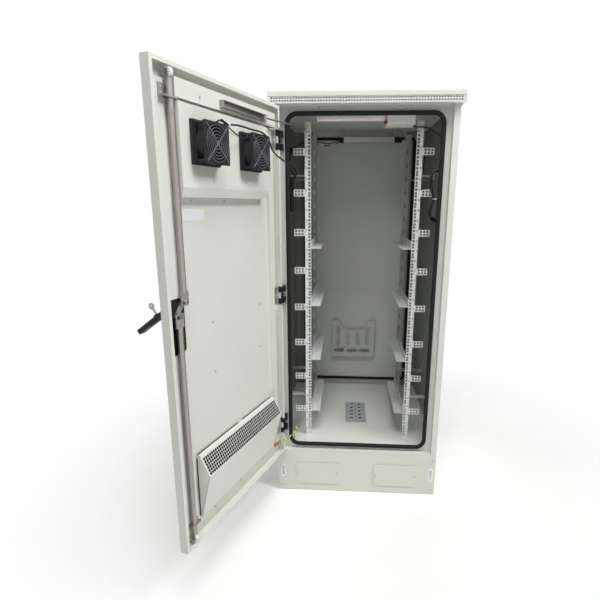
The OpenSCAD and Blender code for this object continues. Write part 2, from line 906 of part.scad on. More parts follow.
module rod_guides() {
  color(steel)
    on_door() {
      difference() {
        span(rod_u_up - 19, rod_u_up + 34, hat_n, rod_n + rod_r + 3, door_z1 - 94, door_z1 - 91);
        rod_z(rod_u_up, rod_n, door_z1 - 110, door_z1 - 80, rod_r + rod_gap);
      }
      span(rod_u_up + 12, rod_u_up + 34, hat_n, hat_n + 2, door_z1 - 94, door_z1 - 58);
      difference() {
        span(rod_u_low - 24, rod_u_low + 22, hat_n, rod_n + rod_r + 3, door_z0 + 82, door_z0 + 85);
        rod_z(rod_u_low, rod_n, door_z0 + 70, door_z0 + 95, rod_r + rod_gap);
      }
      span(rod_u_low - 34, rod_u_low - 12, hat_n, hat_n + 2, door_z0 + 55, door_z0 + 85);
    }
}

module lock_housing() {
  color(dark)
    on_door() {
      difference() {
        slab(lock_u - 24, lock_u + 42, lock_z - 140, lock_z + 31, 14, sheet, hat_n);
        rod_y(lock_u, lock_z, 0, hat_n + 1, 8 + run_gap);
      }
      difference() {
        slab(lock_u - 20, lock_u + 20, lock_z - 155, lock_z + 35, 14, -6, 0);
        rod_y(lock_u, lock_z, -10, 1, 8 + run_gap);
      }
    }
}

module lock_spindle() {
  color(steel)
    on_door()
      difference() {
        union() {
          rod_y(lock_u, lock_z, -7, hat_n + 4, 8);
          translate([lock_u, hat_n + 0.5, lock_z])
            rotate([0, -atan2(pin_z, -pin_u), 0])
              span(-31, 31, 0, 3.5, -9, 9);
          for (s = [-1, 1])
            rod_y(lock_u - s * pin_u, lock_z + s * pin_z, hat_n + 0.5, rod_n + 9, 4);
          slab(lock_u - 14, lock_u + 14, lock_z - 14, lock_z + 12, 6, -9, -6.3);
          for (s = [-1, 1])
            span(lock_u + s * 11.5 - 2.5, lock_u + s * 11.5 + 2.5, handle_n - 6, -6.3, lock_z - 7, lock_z + 7);
          rod_x(handle_n, lock_z, lock_u - 14, lock_u + 14, 3);
        }
      }
}

// swing handle lifted off its seat, turned about the cross pin
module lock_handle() {
  color(dark)
    on_door()
      translate([lock_u, handle_n, lock_z])
        rotate([-handle_tilt, 0, 0])
          difference() {
            union() {
              span(-8.5, 8.5, -6, 6, -16, 6);
              slab(-13, 13, -handle_len, -15, 6, -8, 7);
              span(-10, 10, 7, 8.5, -handle_len + 60, -handle_len + 100);
              rod_y(0, -62, -12, -8, 10);
            }
            rod_x(0, 0, -20, 20, 3 + run_gap);
            rod_y(0, -62, -13, -6, 7 + run_gap);
          }
}

module lock_key() {
  color(steel)
    on_door()
      translate([lock_u, handle_n, lock_z])
        rotate([-handle_tilt, 0, 0])
          union() {
            rod_y(0, -62, -13.5, -6.4, 7);
            span(-1, 1, -34, -13, -66, -58);
            difference() {
              rod_x(-42, -62, -1, 1, 11);
              rod_x(-45, -62, -2, 2, 3);
            }
          }
}

module upper_rod() {
  z0 = lock_z + pin_z;
  z1 = door_z1 - roller_in;
  fork = roller_w / 2 + 2;
  color(steel)
    on_door() {
      rod_z(rod_u_up, rod_n, z0 + 30, z1 - roller_r - 3, rod_r);
      difference() {
        span(rod_u_up - 20, rod_u_up + 14, rod_n - 2, rod_n + 2, z0 - 10, z0 + 34);
        span(rod_u_up - 15.5, rod_u_up + 8.5, rod_n - 3, rod_n + 3, z0 - 6, z0 + 6);
      }
      for (s = [-1, 1])
        span(rod_u_up + s * fork - 1.5, rod_u_up + s * fork + 1.5, rod_n - 6, rod_n + 6,
          z1 - roller_r - 7, z1 + 6);
      rod_x(rod_n, z1, rod_u_up - fork - 2, rod_u_up + fork + 2, 3);
    }
}

module lower_rod() {
  z0 = lock_z - pin_z;
  z1 = door_z0 + roller_in;
  fork = roller_w / 2 + 2;
  color(steel)
    on_door() {
      rod_z(rod_u_low, rod_n, z1 + roller_r + 3, z0 - 30, rod_r);
      difference() {
        span(rod_u_low - 14, rod_u_low + 20, rod_n + 3, rod_n + 7, z0 - 34, z0 + 10);
        span(rod_u_low - 8.5, rod_u_low + 15.5, rod_n + 2, rod_n + 8, z0 - 6, z0 + 6);
      }
      for (s = [-1, 1])
        span(rod_u_low + s * fork - 1.5, rod_u_low + s * fork + 1.5, rod_n - 6, rod_n + 6,
          z1 - 6, z1 + roller_r + 7);
      rod_x(rod_n, z1, rod_u_low - fork - 2, rod_u_low + fork + 2, 3);
    }
}

module roller(u, z) {
  color(white)
    on_door()
      difference() {
        rod_x(rod_n, z, u - roller_w / 2, u + roller_w / 2, roller_r);
        rod_x(rod_n, z, u - roller_w, u + roller_w, 3 + run_gap);
      }
}

module upper_roller() {
  roller(rod_u_up, door_z1 - roller_in);
}

module lower_roller() {
  roller(rod_u_low, door_z0 + roller_in);
}

module door_screws() {
  mid = (cover_u0 + cover_u1) / 2;
  color(zinc)
    on_door() {
      for (u = [box_u0 + 20, (box_u0 + box_u1) / 2, box_u1 - 70])
        rod_y(u, box_z0 + 9, 2 * sheet, 2 * sheet + 2, 3.5);
      for (z = [door_z1 - 150, lock_z + 170, lock_z - 320])
        rod_y(hat_u1 - 10, z, hat_n, hat_n + 1.5, 2.5);
      for (z = [door_z1 - 83, door_z1 - 68])
        rod_y(rod_u_up + 25, z, hat_n + 2, hat_n + 4, 3);
      rod_y(stay_u1 + stay_screw_at * (box_u1 - 2 - stay_u1), stay_z, stiff_n, stiff_n + 2, 4);
      for (t = [-1, 0, 1])
        rod_y(mid + t * 170, cover_z0 - 17, 2 * sheet, 2 * sheet + 2.5, 4);
      for (u = [door_u0 + 150, lock_u - 173])
        for (z = [lock_z - 85, lock_z - 266])
          rod_y(u, z, sheet, sheet + 2, 4);
      rod_y(stud_u, stud_z, sheet, sheet + 16, 4);
      rod_y(stud_u, stud_z, sheet, sheet + 3, 9);
    }
}

module earth_wire() {
  color([0.4, 0.7, 0.2])
    wire_path(eased([door_pt(stud_u, sheet + 13, stud_z + 7.2), door_pt(stud_u - 2, sheet + 26, stud_z + 20),
      door_pt(stud_u - 12, 60, stud_z + 36), [-open_x + 22, front_y - 20, stud_z + 52],
      [-open_x + 18, front_y + 20, stud_z + 50], [-open_x + 12, frame_y + 26, stud_z + 30],
      [-open_x + 4, frame_y + 40, stud_z - 6], [-open_x + 4, frame_y + 42, floor_z + 3]]), 2.5);
}

module fan_cable() {
  u0 = fan_us[0];
  u1 = fan_us[1];
  top = fan_zc + fan_s / 2 + 6;
  color(dark)
    wire_path(eased([door_pt(u0 - 20, fan_n0 + 20, top - 3), door_pt(u0 - 44, fan_n0 + 22, top + 7),
      door_pt(u0 - 84, fan_n0 + 18, top + 2), door_pt(u0 - 150, fan_n0 + 16, top + 8),
      door_pt(u1 + 30, fan_n0 + 20, top + 6), door_pt(u1 - 40, fan_n0 + 22, top + 4),
      door_pt(u1 - 90, fan_n0 + 18, top - 16), door_pt(u1 - 140, fan_n0 + 14, top - 56),
      [hinge_x + 76, front_y - 36, fan_zc - 40], [-open_x + 24, front_y + 16, fan_zc - 72],
      [-open_x + 18, frame_y + 40, fan_zc - 70], [-open_x + 2, frame_y + 100, fan_zc - 40],
      [-wall_x + 34, front_y + 210, fan_zc - 16], [-wall_x + 25, front_y + 252, fan_zc - 18],
      [-wall_x + 24, front_y + 266, roof_low - 247]]), 3);
}

// lead to the lamp driver with a tied hank of spare lead
module power_lead() {
  hank_y = rail_y - 8;
  color(dark)
    wire_path(eased([[205, rail_y - 10, roof_low - 66], [222, rail_y - 11, roof_low - 69],
      [252, rail_y - 14, roof_low - 71], [hank_x - 34, front_y + 84, roof_low - 84],
      [hank_x + 4, front_y + 74, roof_low - 120], [hank_x + hank_r, front_y + 72, roof_low - 180],
      [hank_x + hank_r, hank_y - 4 * hank_gap, hank_z1]]), 3);
  color(dark)
    for (i = [0:4])
      translate([hank_x, hank_y - hank_gap * i, 0]) {
        rod_z(-hank_r, 0, hank_z0, hank_z1, 3);
        rod_z(hank_r, 0, hank_z0, hank_z1, 3);
        translate([0, 0, hank_z1])
          rotate([90, 0, 0])
            rotate_extrude(angle = 180, $fn = 32)
              translate([hank_r, 0])
                circle(r = 3, $fn = 16);
        translate([0, 0, hank_z0])
          rotate([90, 180, 0])
            rotate_extrude(angle = 180, $fn = 32)
              translate([hank_r, 0])
                circle(r = 3, $fn = 16);
      }
}

plinth_frame();
plinth_front_panel();
cable_covers();
left_side_panel();
right_side_panel();
back_panel();
front_frame();
top_panel();
roof_cap();
roof_vent_strip();
roof_spacers();
floor_panel();
gland_plate();
cable_glands();
door_gasket();
front_rail_left();
front_rail_right();
rear_rails();
rear_gasket();
rail_brackets();
lacing_tabs_left();
lacing_tabs_right();
shelf_rails_left();
shelf_rails_right();
document_pocket();
lamp_housing();
lamp_tube();
driver_box();
rear_bar();
terminal_box();
hinge_blocks();
hinge_pins();
stay_bracket();
body_screws();
power_lead();
earth_wire();
fan_cable();
stay_rod();
door_shell();
door_stiffeners();
hinge_leaves();
fan_box();
fan_frames();
fan_guards();
filter_cover();
filter_grille();
stay_channel();
rod_guides();
lock_housing();
door_screws();
fan_rotor_left();
fan_rotor_right();
dust_filter();
lock_spindle();
lock_handle();
lock_key();
upper_rod();
lower_rod();
upper_roller();
lower_roller();
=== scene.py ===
import bpy
import math
import numpy as np
from mathutils import Matrix, Vector


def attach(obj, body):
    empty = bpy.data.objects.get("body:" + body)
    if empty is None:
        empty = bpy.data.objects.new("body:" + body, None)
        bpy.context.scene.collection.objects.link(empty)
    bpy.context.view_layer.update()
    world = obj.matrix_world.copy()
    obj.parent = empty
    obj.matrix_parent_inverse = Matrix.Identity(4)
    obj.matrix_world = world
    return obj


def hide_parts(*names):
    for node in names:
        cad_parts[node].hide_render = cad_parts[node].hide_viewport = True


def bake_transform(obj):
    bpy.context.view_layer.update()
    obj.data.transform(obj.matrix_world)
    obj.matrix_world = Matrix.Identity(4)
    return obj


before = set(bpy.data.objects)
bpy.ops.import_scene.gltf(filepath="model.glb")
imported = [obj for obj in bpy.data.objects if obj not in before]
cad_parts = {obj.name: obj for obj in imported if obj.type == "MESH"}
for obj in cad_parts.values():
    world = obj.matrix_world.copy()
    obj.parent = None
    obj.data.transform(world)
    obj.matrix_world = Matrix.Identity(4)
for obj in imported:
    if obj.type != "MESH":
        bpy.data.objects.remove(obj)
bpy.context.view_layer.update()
scene = bpy.context.scene

# Places on the cabinet, in metres, as the CAD model has them
FRONT = -0.400
FRAME = FRONT + 0.030
BACK_SHEET = 0.398

# The way up
UP = np.array((0, 0, 1.0))

# The open door: its hinge line, its ways along and inward, and its outer face from the hinge line
HINGE = np.array((-0.354, -0.410, 0.0))
OPEN = math.radians(110)
ALONG = np.array((math.cos(OPEN), -math.sin(OPEN), 0.0))
INWARD = np.array((math.sin(OPEN), math.cos(OPEN), 0.0))
FACE = 0.012


def on_door(u, n, z):
    """Points of the open door: u from the hinge, n inwards from the outer face, z above the ground."""
    u, n, z = np.broadcast_arrays(np.asarray(u, float), np.asarray(n, float), np.asarray(z, float))
    return HINGE + u[..., None] * ALONG + (n - FACE)[..., None] * INWARD + z[..., None] * UP


# Camera where the photograph was taken from, fitted to the rails, plinth, roof and door.
# Picture, focal length and shift are in pixels, the sensor in millimetres, the turns in degrees
PICTURE, FOCUS, SENSOR = 600, 435.2, 36
SHIFT_X, SHIFT_Y = -20.5, 6.8
STAND = (-0.068, -1.8671 + FRONT, 1.3714)
TURN, DIP, ROLL = 3.29, 13.4, 0.19

cam_data = bpy.data.cameras.new("camera")
camera = bpy.data.objects.new("camera", cam_data)
scene.collection.objects.link(camera)
scene.camera = camera
cam_data.sensor_width = SENSOR
cam_data.lens = FOCUS / PICTURE * SENSOR
cam_data.shift_x = SHIFT_X / PICTURE
cam_data.shift_y = SHIFT_Y / PICTURE
cam_data.clip_start = 0.05
cam_data.clip_end = 60
camera.matrix_world = (
    Matrix.Translation(STAND)
    @ Matrix.Rotation(math.radians(TURN), 4, "Z")
    @ Matrix.Rotation(math.radians(90 - DIP), 4, "X")
    @ Matrix.Rotation(math.radians(ROLL), 4, "Z")
)

# Materials. Sizes of what they draw are in millimetres, and the heights of their bumps in metres
METRE = 1000
COAT_CLOUD, COAT_DUST, COAT_PEEL, COAT_GRIT = 180, 45, 2.4, 0.8
PEEL_HIGH, GRIT_HIGH = 0.00008, 0.00003
METAL_LINE, METAL_BLOOM, LINE_HIGH = 3, 25, 0.00003
MOULD_CLOUD = 30
WIRE_BAND, WIRE_GRAIN, WIRE_HIGH = 9, 2, 0.00002
FLOOR_CLOUD = 120
# About as many bands as the wave texture draws in a metre at a scale of one
WAVE_BANDS = 6.28
# Roughness of the painted shade on the inner faces
SHADE_ROUGH = 0.7


def linear(code):
    """A screen colour as linear light, by the sRGB curve."""
    c = np.array([int(code[i:i + 2], 16) for i in (1, 3, 5)]) / 255
    return (*np.where(c <= 0.04045, c / 12.92, ((c + 0.055) / 1.055) ** 2.4), 1.0)


def add(tree, kind, links=(), **settings):
    """Adds one shader node: settings go to its sockets or properties, links are (socket, output) pairs."""
    made = tree.nodes.new("ShaderNode" + kind)
    for key, value in settings.items():
        socket = made.inputs.get(key.replace("_", " "))
        if socket is None:
            setattr(made, key, value)
        else:
            socket.default_value = value
    for socket, output in links:
        tree.links.new(output, made.inputs[socket])
    return made


def shader(name, **settings):
    """A new material with its node tree, main shader and object coordinates."""
    material = bpy.data.materials.new(name)
    material.use_nodes = True
    tree = material.node_tree
    main = tree.nodes["Principled BSDF"]
    for key, value in settings.items():
        main.inputs[key.replace("_", " ")].default_value = value
    return material, tree, main, add(tree, "TexCoord").outputs["Object"]


def feed(tree, node, **outputs):
    """Links outputs to the sockets of a node that they are named for."""
    for key, output in outputs.items():
        tree.links.new(output, node.inputs[key.replace("_", " ")])


def powder_coat(name, shade, tone, rough):
    """Polyester powder coat on sheet steel: a soft sheen with orange peel and grit, and faint clouds of tone.
    Peel and grit are at the coarse end of what such a coat has, so that they show close up."""
    material, tree, main, spot = shader(name, Roughness=rough)
    cloud = add(tree, "TexNoise", [("Vector", spot)], Scale=METRE / COAT_CLOUD, Detail=4.0, Roughness=0.55)
    dust = add(tree, "TexNoise", [("Vector", spot)], Scale=METRE / COAT_DUST, Detail=3.0)
    mixed = add(tree, "MixRGB", [("Fac", cloud.outputs["Fac"])], Color1=linear(shade), Color2=linear(tone))
    spread = add(tree, "MapRange", [("Value", dust.outputs["Fac"])], To_Min=rough - 0.08, To_Max=rough + 0.1)
    peel = add(tree, "TexNoise", [("Vector", spot)], Scale=METRE / COAT_PEEL, Detail=2.0, Roughness=0.4)
    grit = add(tree, "TexNoise", [("Vector", spot)], Scale=METRE / COAT_GRIT, Detail=1.0)
    low = add(tree, "Bump", [("Height", peel.outputs["Fac"])], Strength=0.22, Distance=PEEL_HIGH)
    high = add(tree, "Bump", [("Height", grit.outputs["Fac"]), ("Normal", low.outputs["Normal"])],
               Strength=0.1, Distance=GRIT_HIGH)
    feed(tree, main, Base_Color=mixed.outputs["Color"], Roughness=spread.outputs["Result"],
         Normal=high.outputs["Normal"])
    return material


def panel_with_painted_shade(name, shade, tone, shade_colour, rough, x_edge, y_edge):
    """A powder coated panel whose inner face is painted dark and matt: painted shade for walls that lie in
    the dark behind the rails. The painted shade begins where the distance from the middle and the depth pass
    their edges, each a pair: off, then on."""
    material, tree, main, spot = shader(name, Roughness=rough)
    cloud = add(tree, "TexNoise", [("Vector", spot)], Scale=METRE / COAT_CLOUD, Detail=4.0, Roughness=0.55)
    coat = add(tree, "MixRGB", [("Fac", cloud.outputs["Fac"])], Color1=linear(shade), Color2=linear(tone))
    place = add(tree, "SeparateXYZ", [("Vector", spot)])
    off = add(tree, "Math", [(0, place.outputs["X"])], operation="ABSOLUTE")
    within = add(tree, "MapRange", [("Value", off.outputs["Value"])], From_Min=x_edge[0], From_Max=x_edge[1])
    behind = add(tree, "MapRange", [("Value", place.outputs["Y"])], From_Min=y_edge[0], From_Max=y_edge[1])
    inside = add(tree, "Math", [(0, within.outputs["Result"]), (1, behind.outputs["Result"])],
                 operation="MULTIPLY")
    both = add(tree, "MixRGB", [("Fac", inside.outputs["Value"]), ("Color1", coat.outputs["Color"])],
               Color2=linear(shade_colour))
    matt = add(tree, "MapRange", [("Value", inside.outputs["Value"])], To_Min=rough, To_Max=SHADE_ROUGH)
    peel = add(tree, "TexNoise", [("Vector", spot)], Scale=METRE / COAT_PEEL, Detail=2.0, Roughness=0.4)
    raised = add(tree, "Bump", [("Height", peel.outputs["Fac"])], Strength=0.22, Distance=PEEL_HIGH)
    feed(tree, main, Base_Color=both.outputs["Color"], Roughness=matt.outputs["Result"],
         Normal=raised.outputs["Normal"])
    return material


def drawn_metal(name, shade, tone, rough, metallic, grain):
    """Rolled or drawn metal: lines along its length and a duller bloom. Real lines are finer than these,
    which are drawn as coarse as they need to show. The grain stretches them along x, y and z."""
    material, tree, main, spot = shader(name, Roughness=rough, Metallic=metallic)
    drawn = add(tree, "Mapping", [("Vector", spot)], Scale=grain)
    lines = add(tree, "TexNoise", [("Vector", drawn.outputs["Vector"])], Scale=METRE / METAL_LINE,
                Detail=4.0, Roughness=0.6)
    bloom = add(tree, "TexNoise", [("Vector", spot)], Scale=METRE / METAL_BLOOM, Detail=3.0)
    both = add(tree, "MixRGB", [("Color1", lines.outputs["Fac"]), ("Color2", bloom.outputs["Fac"])], Fac=0.5)
    mixed = add(tree, "MixRGB", [("Fac", both.outputs["Color"])], Color1=linear(shade), Color2=linear(tone))
    spread = add(tree, "MapRange", [("Value", bloom.outputs["Fac"])], To_Min=rough - 0.1, To_Max=rough + 0.1)
    raised = add(tree, "Bump", [("Height", lines.outputs["Fac"])], Strength=0.2, Distance=LINE_HIGH)
    feed(tree, main, Base_Color=mixed.outputs["Color"], Roughness=spread.outputs["Result"],
         Normal=raised.outputs["Normal"])
    return material


def moulded(name, shade, tone, rough, grain, depth, gloss=0.4):
    """Moulded plastic or rubber: a spark eroded grain over an even colour, its size and depth in millimetres.
    A real grain is finer: this one is drawn as coarse as it needs to show."""
    material, tree, main, spot = shader(name, Roughness=rough, Specular_IOR_Level=gloss)
    cloud = add(tree, "TexNoise", [("Vector", spot)], Scale=METRE / MOULD_CLOUD, Detail=3.0)
    mixed = add(tree, "MixRGB", [("Fac", cloud.outputs["Fac"])], Color1=linear(shade), Color2=linear(tone))
    spread = add(tree, "MapRange", [("Value", cloud.outputs["Fac"])],
                 To_Min=rough - 0.07, To_Max=rough + 0.07)
    pits = add(tree, "TexNoise", [("Vector", spot)], Scale=METRE / grain, Detail=2.0)
    raised = add(tree, "Bump", [("Height", pits.outputs["Fac"])], Strength=0.25, Distance=depth / METRE)
    feed(tree, main, Base_Color=mixed.outputs["Color"], Roughness=spread.outputs["Result"],
         Normal=raised.outputs["Normal"])
    return material


def striped_wire(name, shade, stripe):
    """Insulation with a stripe of a second colour, in bands of about 9 mm where the wire twists."""
    material, tree, main, spot = shader(name, Roughness=0.4)
    bands = add(tree, "TexWave", [("Vector", spot)], Scale=METRE / WIRE_BAND / WAVE_BANDS, Distortion=0.8)
    edge = add(tree, "MapRange", [("Value", bands.outputs["Fac"])], From_Min=0.45, From_Max=0.55)
    mixed = add(tree, "MixRGB", [("Fac", edge.outputs["Result"])],
                Color1=linear(shade), Color2=linear(stripe))
    grain = add(tree, "TexNoise", [("Vector", spot)], Scale=METRE / WIRE_GRAIN, Detail=2.0)
    raised = add(tree, "Bump", [("Height", grain.outputs["Fac"])], Strength=0.2, Distance=WIRE_HIGH)
    feed(tree, main, Base_Color=mixed.outputs["Color"], Normal=raised.outputs["Normal"])
    return material


# Edges of the painted shade, in metres. The side panels have it on their inner skin behind the front frame,
# and the back panel has it on its inner skin on both sides of a bare middle, behind the rails
WALL_SKIN, WALL_START = (0.3744, 0.3736), (-0.367, -0.365)
BACK_MIDDLE, BACK_SKIN = (0.2676, 0.2684), (0.3994, 0.3986)

# Powder coat of the body: pale grey green with a broad soft sheen
paint = powder_coat("grey_powder_coat", "#d7d9d2", "#dfe1da", 0.46)
# The same coat with painted shade, dark and matt, on the inner faces: walls that fall into the dark behind
# the rails
panel_paint = panel_with_painted_shade("powder_coat_painted_shade", "#d7d9d2", "#dfe1da", "#8d9089", 0.46, WALL_SKIN, WALL_START)
back_paint = panel_with_painted_shade("back_coat_painted_shade", "#d7d9d2", "#dfe1da", "#7d807a", 0.46, BACK_MIDDLE, BACK_SKIN)
# The door's coat: a little lighter and warmer, with a little more sheen
door_paint = powder_coat("door_powder_coat", "#dbdcd3", "#e3e4db", 0.44)
# The plinth's coat: a little yellower and duller
plinth_paint = powder_coat("plinth_powder_coat", "#d4d5cb", "#dddfd4", 0.48)
# Shelf rails and pocket: a neutral grey, darker than the panels
rail_paint = powder_coat("rail_powder_coat", "#c3c5c4", "#d1d3d2", 0.42)
# Front rails and tabs: nearly white, so that they stand out from the walls with painted shade
tab_paint = powder_coat("tab_powder_coat", "#dfe1e0", "#eaebea", 0.42)
# Painted shade: the coat darkened to a dull mid grey, which keeps the rear rails and their brackets back in
# the dark
shade_paint = powder_coat("rear_rail_painted_shade_coat", "#a0a39d", "#abaea8", 0.55)
# Zinc plate: pale, with a blurred metal shine
zinc = drawn_metal("zinc_plate", "#aeb1b0", "#cfd2d1", 0.42, 0.8, (1, 1, 0.2))
# Stainless steel: brownish grey, with long lines up the rods
stainless = drawn_metal("stainless_steel", "#8d8883", "#b9b4ae", 0.36, 0.85, (1, 1, 0.05))
# Galvanised sheet: a dull blue grey with hardly a shine
galvanised = drawn_metal("galvanised_sheet", "#a3a7a8", "#b9bdbe", 0.55, 0.3, (1, 1, 1))
# Brass: a warm brown metal
brass = drawn_metal("brass", "#8a5830", "#c08650", 0.35, 0.9, (1, 1, 1))
# Rubber: deep black, almost without a highlight
rubber = moulded("epdm_rubber", "#0b0c0d", "#151618", 0.6, 1.2, 0.05, 0.25)
# Black nylon: deep black with a small soft highlight
black = moulded("black_nylon", "#0d0e11", "#191a1e", 0.48, 1.0, 0.04, 0.25)
# Fan polyester: charcoal, a little lighter than the nylon
fan_black = moulded("fan_polyester", "#17181b", "#26272b", 0.5, 1.0, 0.04, 0.3)
# Enamelled wire: a mid grey that draws the guard's rings on the dark fan
guard = moulded("guard_enamel", "#56575b", "#707176", 0.35, 2.0, 0.01)
# Red nylon: a dark wine red
red = moulded("red_nylon", "#7c1a24", "#932530", 0.4, 1.5, 0.02)
# Polycarbonate: bright white and smooth
white = moulded("white_polycarbonate", "#e8e8e5", "#f5f5f2", 0.35, 1.5, 0.02)
# Polyamide: a light neutral grey, half glossy
gland_grey = moulded("grey_polyamide", "#b4b6b5", "#c6c8c7", 0.45, 1.5, 0.02)
# White nylon: the whitest piece of all, half glossy
nylon = moulded("white_nylon", "#eeebee", "#fbf9fa", 0.4, 1.5, 0.02)
# Opal acrylic: a warm white, the glossiest of the plastics
opal = moulded("opal_acrylic", "#f2e9ea", "#faf3f3", 0.3, 3.0, 0.01)
# Fleece: nearly black and quite matt, painted shade so that the grille's holes look dark
fleece_shade = moulded("filter_fleece", "#151518", "#242428", 0.9, 1.8, 0.6)
# Cable sheath: black with a soft shine along its length
sleeve = moulded("cable_sheath", "#0e0f11", "#18191c", 0.45, 3.0, 0.02)
# Earth insulation: bright green and yellow bands
earth = striped_wire("earth_insulation", "#4aa544", "#dedb46")
# Crimp sleeve: a smooth yellow, a spot of colour on the wire
crimp_yellow = moulded("crimp_sleeve", "#c9c53c", "#e2df5c", 0.4, 2.0, 0.02)
# Label paper: a flat cool white
label = moulded("label_paper", "#e9eaec", "#f4f4f6", 0.5, 1.0, 0.01)

finishes = {
    paint: "front_frame top_panel roof_cap roof_vent_strip floor_panel",
    shade_paint: "rear_rails rail_brackets",
    panel_paint: "left_side_panel right_side_panel",
    back_paint: "back_panel",
    door_paint: "door_shell door_stiffeners fan_box filter_cover filter_grille",
    plinth_paint: "plinth_frame plinth_front_panel cable_covers",
    zinc: "roof_spacers body_screws door_screws hinge_leaves rear_bar",
    rail_paint: "document_pocket shelf_rails_left shelf_rails_right",
    tab_paint: "front_rail_left front_rail_right lacing_tabs_left lacing_tabs_right",
    stainless: "stay_bracket stay_rod stay_channel rod_guides upper_rod lower_rod "
               "lock_spindle lock_key hinge_pins",
    galvanised: "gland_plate",
    rubber: "door_gasket rear_gasket",
    black: "terminal_box hinge_blocks lock_housing lock_handle",
    fan_black: "fan_frames fan_rotor_left fan_rotor_right",
    guard: "fan_guards",
    gland_grey: "cable_glands",
    white: "lamp_housing driver_box",
    nylon: "upper_roller lower_roller",
    opal: "lamp_tube",
    fleece_shade: "dust_filter",
    sleeve: "power_lead fan_cable",
    earth: "earth_wire",
}
for finish, names in finishes.items():
    for name in names.split():
        solid = bpy.data.objects[name].data
        solid.materials.clear()
        solid.materials.append(finish)


# Surfaces
def shell(name, points, quads, finish, smooth, ends=()):
    """A mesh of four-sided faces and a few end faces. Faces are turned round where the volume they
    enclose, summed as tetrahedra from the middle, comes out negative."""
    a, b, c, d = (points[quads[:, k]] - points.mean(axis=0) for k in range(4))
    inward = np.sum(a * np.cross(b, c)) + np.sum(a * np.cross(c, d)) < 0
    faces = quads.tolist() + [list(end) for end in ends]
    if inward:
        faces = [face[::-1] for face in faces]
    mesh = bpy.data.meshes.new(name)
    mesh.from_pydata(points.tolist(), [], faces)
    mesh.polygons.foreach_set("use_smooth", [smooth] * len(faces))
    mesh.materials.append(finish)
    piece = bpy.data.objects.new(name, mesh)
    scene.collection.objects.link(piece)
    return piece


def skin(name, grid, finish, wrap_u=False, wrap_v=False, caps=False, smooth=True):
    """A mesh from a grid of points, rows by columns; a wrapped side joins its last line to its first.
    Caps close the two open ends of a tube with one face each."""
    rows, cols = grid.shape[:2]
    i = np.arange(rows if wrap_u else rows - 1)[:, None]
    j = np.arange(cols if wrap_v else cols - 1)[None, :]
    at = lambda a, b: (a % rows) * cols + b % cols
    quads = np.stack([at(i, j), at(i, j + 1), at(i + 1, j + 1), at(i + 1, j)], -1).reshape(-1, 4)
    ends = (range(cols - 1, -1, -1), range((rows - 1) * cols, rows * cols)) if caps else ()
    return shell(name, grid.reshape(-1, 3), quads, finish, smooth, ends)


def eased(points, per=6):
    """A Catmull-Rom curve with its end points held: each span is a cubic of the four points round it."""
    p = np.asarray(points, float)
    p = np.concatenate([p[:1], p, p[-1:]])
    a, b, c, d = (p[k:len(p) - 3 + k, None] for k in range(4))
    t = (np.arange(per) / per)[None, :, None]
    span = 0.5 * (2 * b + (c - a) * t + (2 * a - 5 * b + 4 * c - d) * t**2 + (3 * b - a - 3 * c + d) * t**3)
    return np.concatenate([span.reshape(-1, 3), p[-1:]])


def along(path):
    """Distance of each point from the start of a path."""
    return np.concatenate([[0], np.cumsum(np.linalg.norm(np.diff(path, axis=0), axis=1))])


def part_of(path, start, end, count):
    """Points spaced evenly on a path between two distances from its start."""
    s = along(path)
    at = np.linspace(start, end, count)
    return np.stack([np.interp(at, s, path[:, k]) for k in range(3)], -1)


def squared(wave, power):
    """A sine or cosine raised to a power with its sign kept: powers below one square a circle off."""
    return np.sign(wave) * np.abs(wave) ** power


def sweep(name, path, radius, finish, side, sides=12):
    """A round tube: circles across a path, square to it, set out from a side that the path never runs along.
    The radius is one number, or one for each point of the path."""
    run = np.gradient(path, axis=0)
    run /= np.linalg.norm(run, axis=1)[:, None]
    one = np.cross(run, np.asarray(side, float))
    one /= np.linalg.norm(one, axis=1)[:, None]
    two = np.cross(run, one)
    turn = np.arange(sides) * 2 * math.pi / sides
    ring = np.cos(turn)[None, :, None] * one[:, None] + np.sin(turn)[None, :, None] * two[:, None]
    wide = np.broadcast_to(np.asarray(radius, float), (len(path),)).reshape(-1, 1, 1)
    return skin(name, path[:, None] + wide * ring, finish, wrap_v=True, caps=True)


def lathe(name, axis_at, axis, profile, finish, sides=28):
    """A turned piece: (distance, radius) pairs of a profile carried round an axis."""
    axis = np.asarray(axis, float)
    one = np.cross(axis, (0.0, 0.0, 1.0) if abs(axis[2]) < 0.9 else (1.0, 0.0, 0.0))
    one /= np.linalg.norm(one)
    two = np.cross(axis, one)
    turn = np.arange(sides) * 2 * math.pi / sides
    ring = np.cos(turn)[:, None] * one + np.sin(turn)[:, None] * two
    prof = np.asarray(profile, float)
    grid = np.asarray(axis_at, float) + prof[:, None, :1] * axis + prof[:, None, 1:] * ring[None]
    return skin(name, grid, finish, wrap_v=True, caps=True)


def round_frame(half, low, high, radius, steps=10):
    """A closed upright rectangle with round corners, as (x, z) points and the outward way at each of them."""
    turn = np.linspace(0, math.pi / 2, steps)
    quarter = np.arange(4)[:, None] * math.pi / 2 + turn[None, :]
    out = np.stack([np.cos(quarter), np.sin(quarter)], -1)
    mid = np.array([(half - radius, high - radius), (-half + radius, high - radius),
                    (-half + radius, low + radius), (half - radius, low + radius)])
    return (mid[:, None] + radius * out).reshape(-1, 2), out.reshape(-1, 2)


